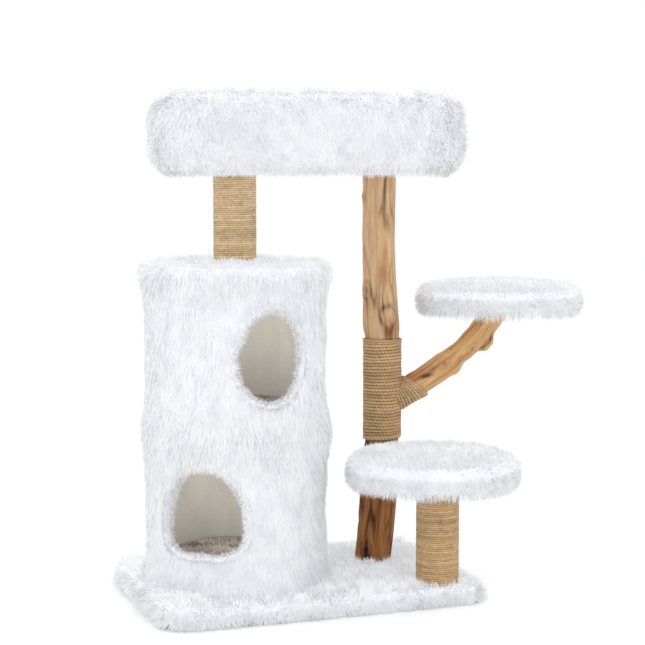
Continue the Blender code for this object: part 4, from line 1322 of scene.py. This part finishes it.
def post_rope(name, light, gap_shade, seed):
    low, high = span(f"{name}_post_rope")
    centre = (low + high)[:2] / 2
    length = high[2] - low[2]
    pitch = length / round(length / 0.0040)
    columns = 240
    rows = min(int(length / pitch * 8) + 1, 400)
    z, t = np.meshgrid(np.linspace(low[2], high[2], rows), turns(columns), indexing="ij")
    height, wound = winding(z, t, pitch, length, low[2])
    plies = ply_lines(wound, t * POST_RADIUS, pitch)
    flat = round_points((0, 0), POST_RADIUS, t, z).reshape(-1, 3)
    outer = POST_RADIUS - 0.0019 + (0.0016 - 0.0004 * plies) * height
    outer = outer + (smooth_noise(flat, (0.02, 0.02, 0.004), seed) * 0.0005).reshape(outer.shape)
    inside = lathe_rings(centre, [(POST_RADIUS - 0.0048, high[2]), (POST_RADIUS - 0.0048, low[2])], columns)
    rings = np.concatenate([round_points(centre, outer, t, z), inside])
    rope_piece(f"{name}_post_winding", rings, flat, (height, plies, wound), light, gap_shade, seed, "post_rope",
               f"{name}_post_rope")


# The rope's pale colour, and its gap colour, which is painted shade between the turns.
WRAP_LIGHT, WRAP_GAP_SHADE = srgb(214, 183, 142), srgb(98, 69, 40)


def trunk_wrap():
    length = WRAP_TOP - WRAP_BOTTOM
    turn_count = 32
    pitch = length / turn_count
    columns, rows = 200, turn_count * 10 + 1
    z, t = np.meshgrid(np.linspace(WRAP_BOTTOM, WRAP_TOP, rows), turns(columns), indexing="ij")
    flat = round_points((0, 0), WRAP_ROUND, t, z).reshape(-1, 3)
    uneven = smooth_noise(flat, 0.03, 160)
    inside_ends = np.clip((z - WRAP_BOTTOM) / 0.012, 0, 1) * np.clip((WRAP_TOP - z) / 0.012, 0, 1)
    level = z + uneven.reshape(z.shape) * 0.0011 * inside_ends
    height, wound = winding(level, t, pitch, length, WRAP_BOTTOM)
    height = np.maximum(height, np.clip((z - WRAP_TOP) / (pitch * 0.5) + 1, 0, 1))
    plies = ply_lines(wound, t * WRAP_ROUND, pitch)
    outer = TRUNK_RADIUS + WRAP_THICK - 0.0027 + (0.0027 - 0.0008 * plies) * height
    outer = outer + (smooth_noise(flat, (0.03, 0.03, 0.005), 161) * 0.0006).reshape(outer.shape)
    outer = outer + 0.0014 * bell(z - WRAP_TOP, pitch * 0.9)
    outer = outer - 0.0022 * np.clip((z - WRAP_TOP) / 0.0022 + 1, 0, 1) ** 2
    shape = round_points(TRUNK, outer, t, z)
    near_foot = np.clip(1 - (z - WRAP_BOTTOM) / 0.03, 0, 1)
    shape[..., 2] += near_foot * 0.0022 * (1 + np.cos(t))
    inner = TRUNK_RADIUS + 0.0011
    inside = lathe_rings(TRUNK, [(inner, WRAP_TOP), (inner, WRAP_BOTTOM + 0.0045)], columns)
    rope_piece("trunk_rope_winding", np.concatenate([shape, inside]), flat, (height, plies, wound),
               WRAP_LIGHT, WRAP_GAP_SHADE, 163, "wrap_rope", "trunk_rope_wrap")


def branch_wrap():
    """Rope wound over the foot of the branch. Its turns fan out, close together above and spread below,
    where they bridge the corner between the trunk and the branch."""
    fine = np.linspace(0, 0.6, 400)
    points, _ = branch_curve(fine)
    walked = np.concatenate([[0], np.cumsum(np.linalg.norm(np.diff(points, axis=0), axis=1))])
    turn_count = 10
    columns, rows = 160, turn_count * 11 + 1
    share, turn = np.meshgrid(np.linspace(0, 1, rows), turns(columns), indexing="ij")
    above = np.sin(turn)
    start = 0.025 + 0.006 * above
    distance = start + share * (0.081 - 0.012 * above - start)
    t = np.interp(distance, walked, fine)
    height, wound = winding(share, turn, 1 / turn_count, 1.0, 0.0)
    plies = ply_lines(wound, turn * 0.028, 0.0058)
    under = np.clip(-above, 0, 1) ** 2
    bridge = 0.0030 * under * bell(share - 0.2, 0.25) * np.clip(share / 0.1, 0, 1)
    thick = 0.0030 - 0.0012 * np.clip(above, 0, 1) * share - 0.0020 * np.clip((share - 0.9) / 0.1, 0, 1) ** 2
    grow = 0.0006 + thick + (0.0025 - 0.0008 * plies) * height + bridge + rope_hollow(t, turn)
    shape, _ = on_branch(t, turn, grow)
    ends = [-1, 0]
    inner, _ = on_branch(t[ends], turn[ends], 0.0008 + rope_hollow(t[ends], turn[ends]))
    rope_piece("branch_rope_winding", np.concatenate([shape, inner]), shape.reshape(-1, 3),
               (height, plies, wound), WRAP_LIGHT, WRAP_GAP_SHADE, 173, "wrap_rope", "branch_rope_collar")


# --- CAD pieces that stay

def finish_cad():
    """The inner pieces keep their CAD shape and get a material by the ending of their name."""
    board = core_material("particle_board", 0.85, (
        420.0, [(0.30, (0.30, 0.19, 0.10)), (0.52, (0.52, 0.38, 0.23)), (0.72, (0.66, 0.52, 0.34))],
        dict(stretch=(1, 1, 2.2), detail=5.0, distortion=1.2)), (0.0004, 600.0, 4.0))
    cardboard = core_material("paper_tube", 0.9, (
        60.0, [(0.30, (0.36, 0.25, 0.15)), (0.70, (0.48, 0.35, 0.22))], dict(stretch=(0.4, 0.4, 3.0))),
        (0.0003, 900.0, 2.0))
    foam = core_material("foam", 0.95, (500.0, [(0.3, (0.72, 0.69, 0.56)), (0.7, (0.86, 0.84, 0.72))], {}),
                         (0.0008, 1200.0, 2.0))
    sheet = core_material("non_woven_sheet", 0.9, (
        900.0, [(0.3, (0.035, 0.035, 0.037)), (0.7, (0.075, 0.075, 0.078))], dict(detail=3.0)),
        (0.0004, 700.0, 2.0))
    steel = core_material("zinc_steel", 0.35, (
        300.0, [(0.3, (0.48, 0.49, 0.50)), (0.7, (0.68, 0.69, 0.70))], {}), (0.0001, 1500.0, 4.0), 1.0)
    looks = ((board, ("_board", "_plug")), (cardboard, ("_wall", "_core")), (foam, ("bolster",)),
             (sheet, ("_sheet",)), (steel, ("_bolt", "_washer", "_stud", "screw", "_1", "_2", "_3")))
    for made in bpy.data.objects:
        if "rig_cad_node" not in made or made.hide_render:
            continue
        look = next((look for look, endings in looks if made.name.endswith(endings)), None)
        if look is None:
            print("no finish for", made.name)
        else:
            made.data.materials.clear()
            made.data.materials.append(look)


# --- all of it

make_camera()
make_studio()
make_floor()
finish_shell = condo_shell()
condo_fur(finish_shell)
for storey, raised, seed in (("lower", 0.009, 200), ("upper", 0.0, 220)):
    den_middle = centre_of(f"{storey}_condo_lining")
    make_den_light(f"{storey}_den_light", den_middle + np.array([0.02, -0.02, 0.03]))
    den_lining(storey)
    door_rim(storey, seed)
    den_mat(storey, raised, seed + 10)
bed_pile()
bed_cushion()
platform("lower", 0.0040, 300)
platform("upper", 0.0, 320)
base_pile()
split = float(span("lower_trunk")[1][2])
trunk("lower_trunk_wood", "lower_trunk", float(span("lower_trunk")[0][2]), split, 0.0046, 1.15,
      (srgb(163, 111, 62), srgb(85, 49, 22), srgb(37, 19, 7)), LOWER_WOOD)
trunk("upper_trunk_wood", "upper_trunk", split + 0.0003, float(span("upper_trunk")[1][2]), 0.0018, 0.85,
      (srgb(208, 174, 136), srgb(162, 110, 67), srgb(88, 51, 26)), UPPER_WOOD)
branch()
# The second colour of each post is painted shade for the gaps between its turns.
post_rope("tall", srgb(236, 212, 176), srgb(138, 108, 76), 400)
post_rope("short", srgb(222, 192, 150), srgb(122, 90, 58), 420)
trunk_wrap()
branch_wrap()
finish_cad()

NEW_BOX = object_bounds()
[[[float(v) for v in corner] for corner in box] for box in (CAD_BOX, NEW_BOX)]
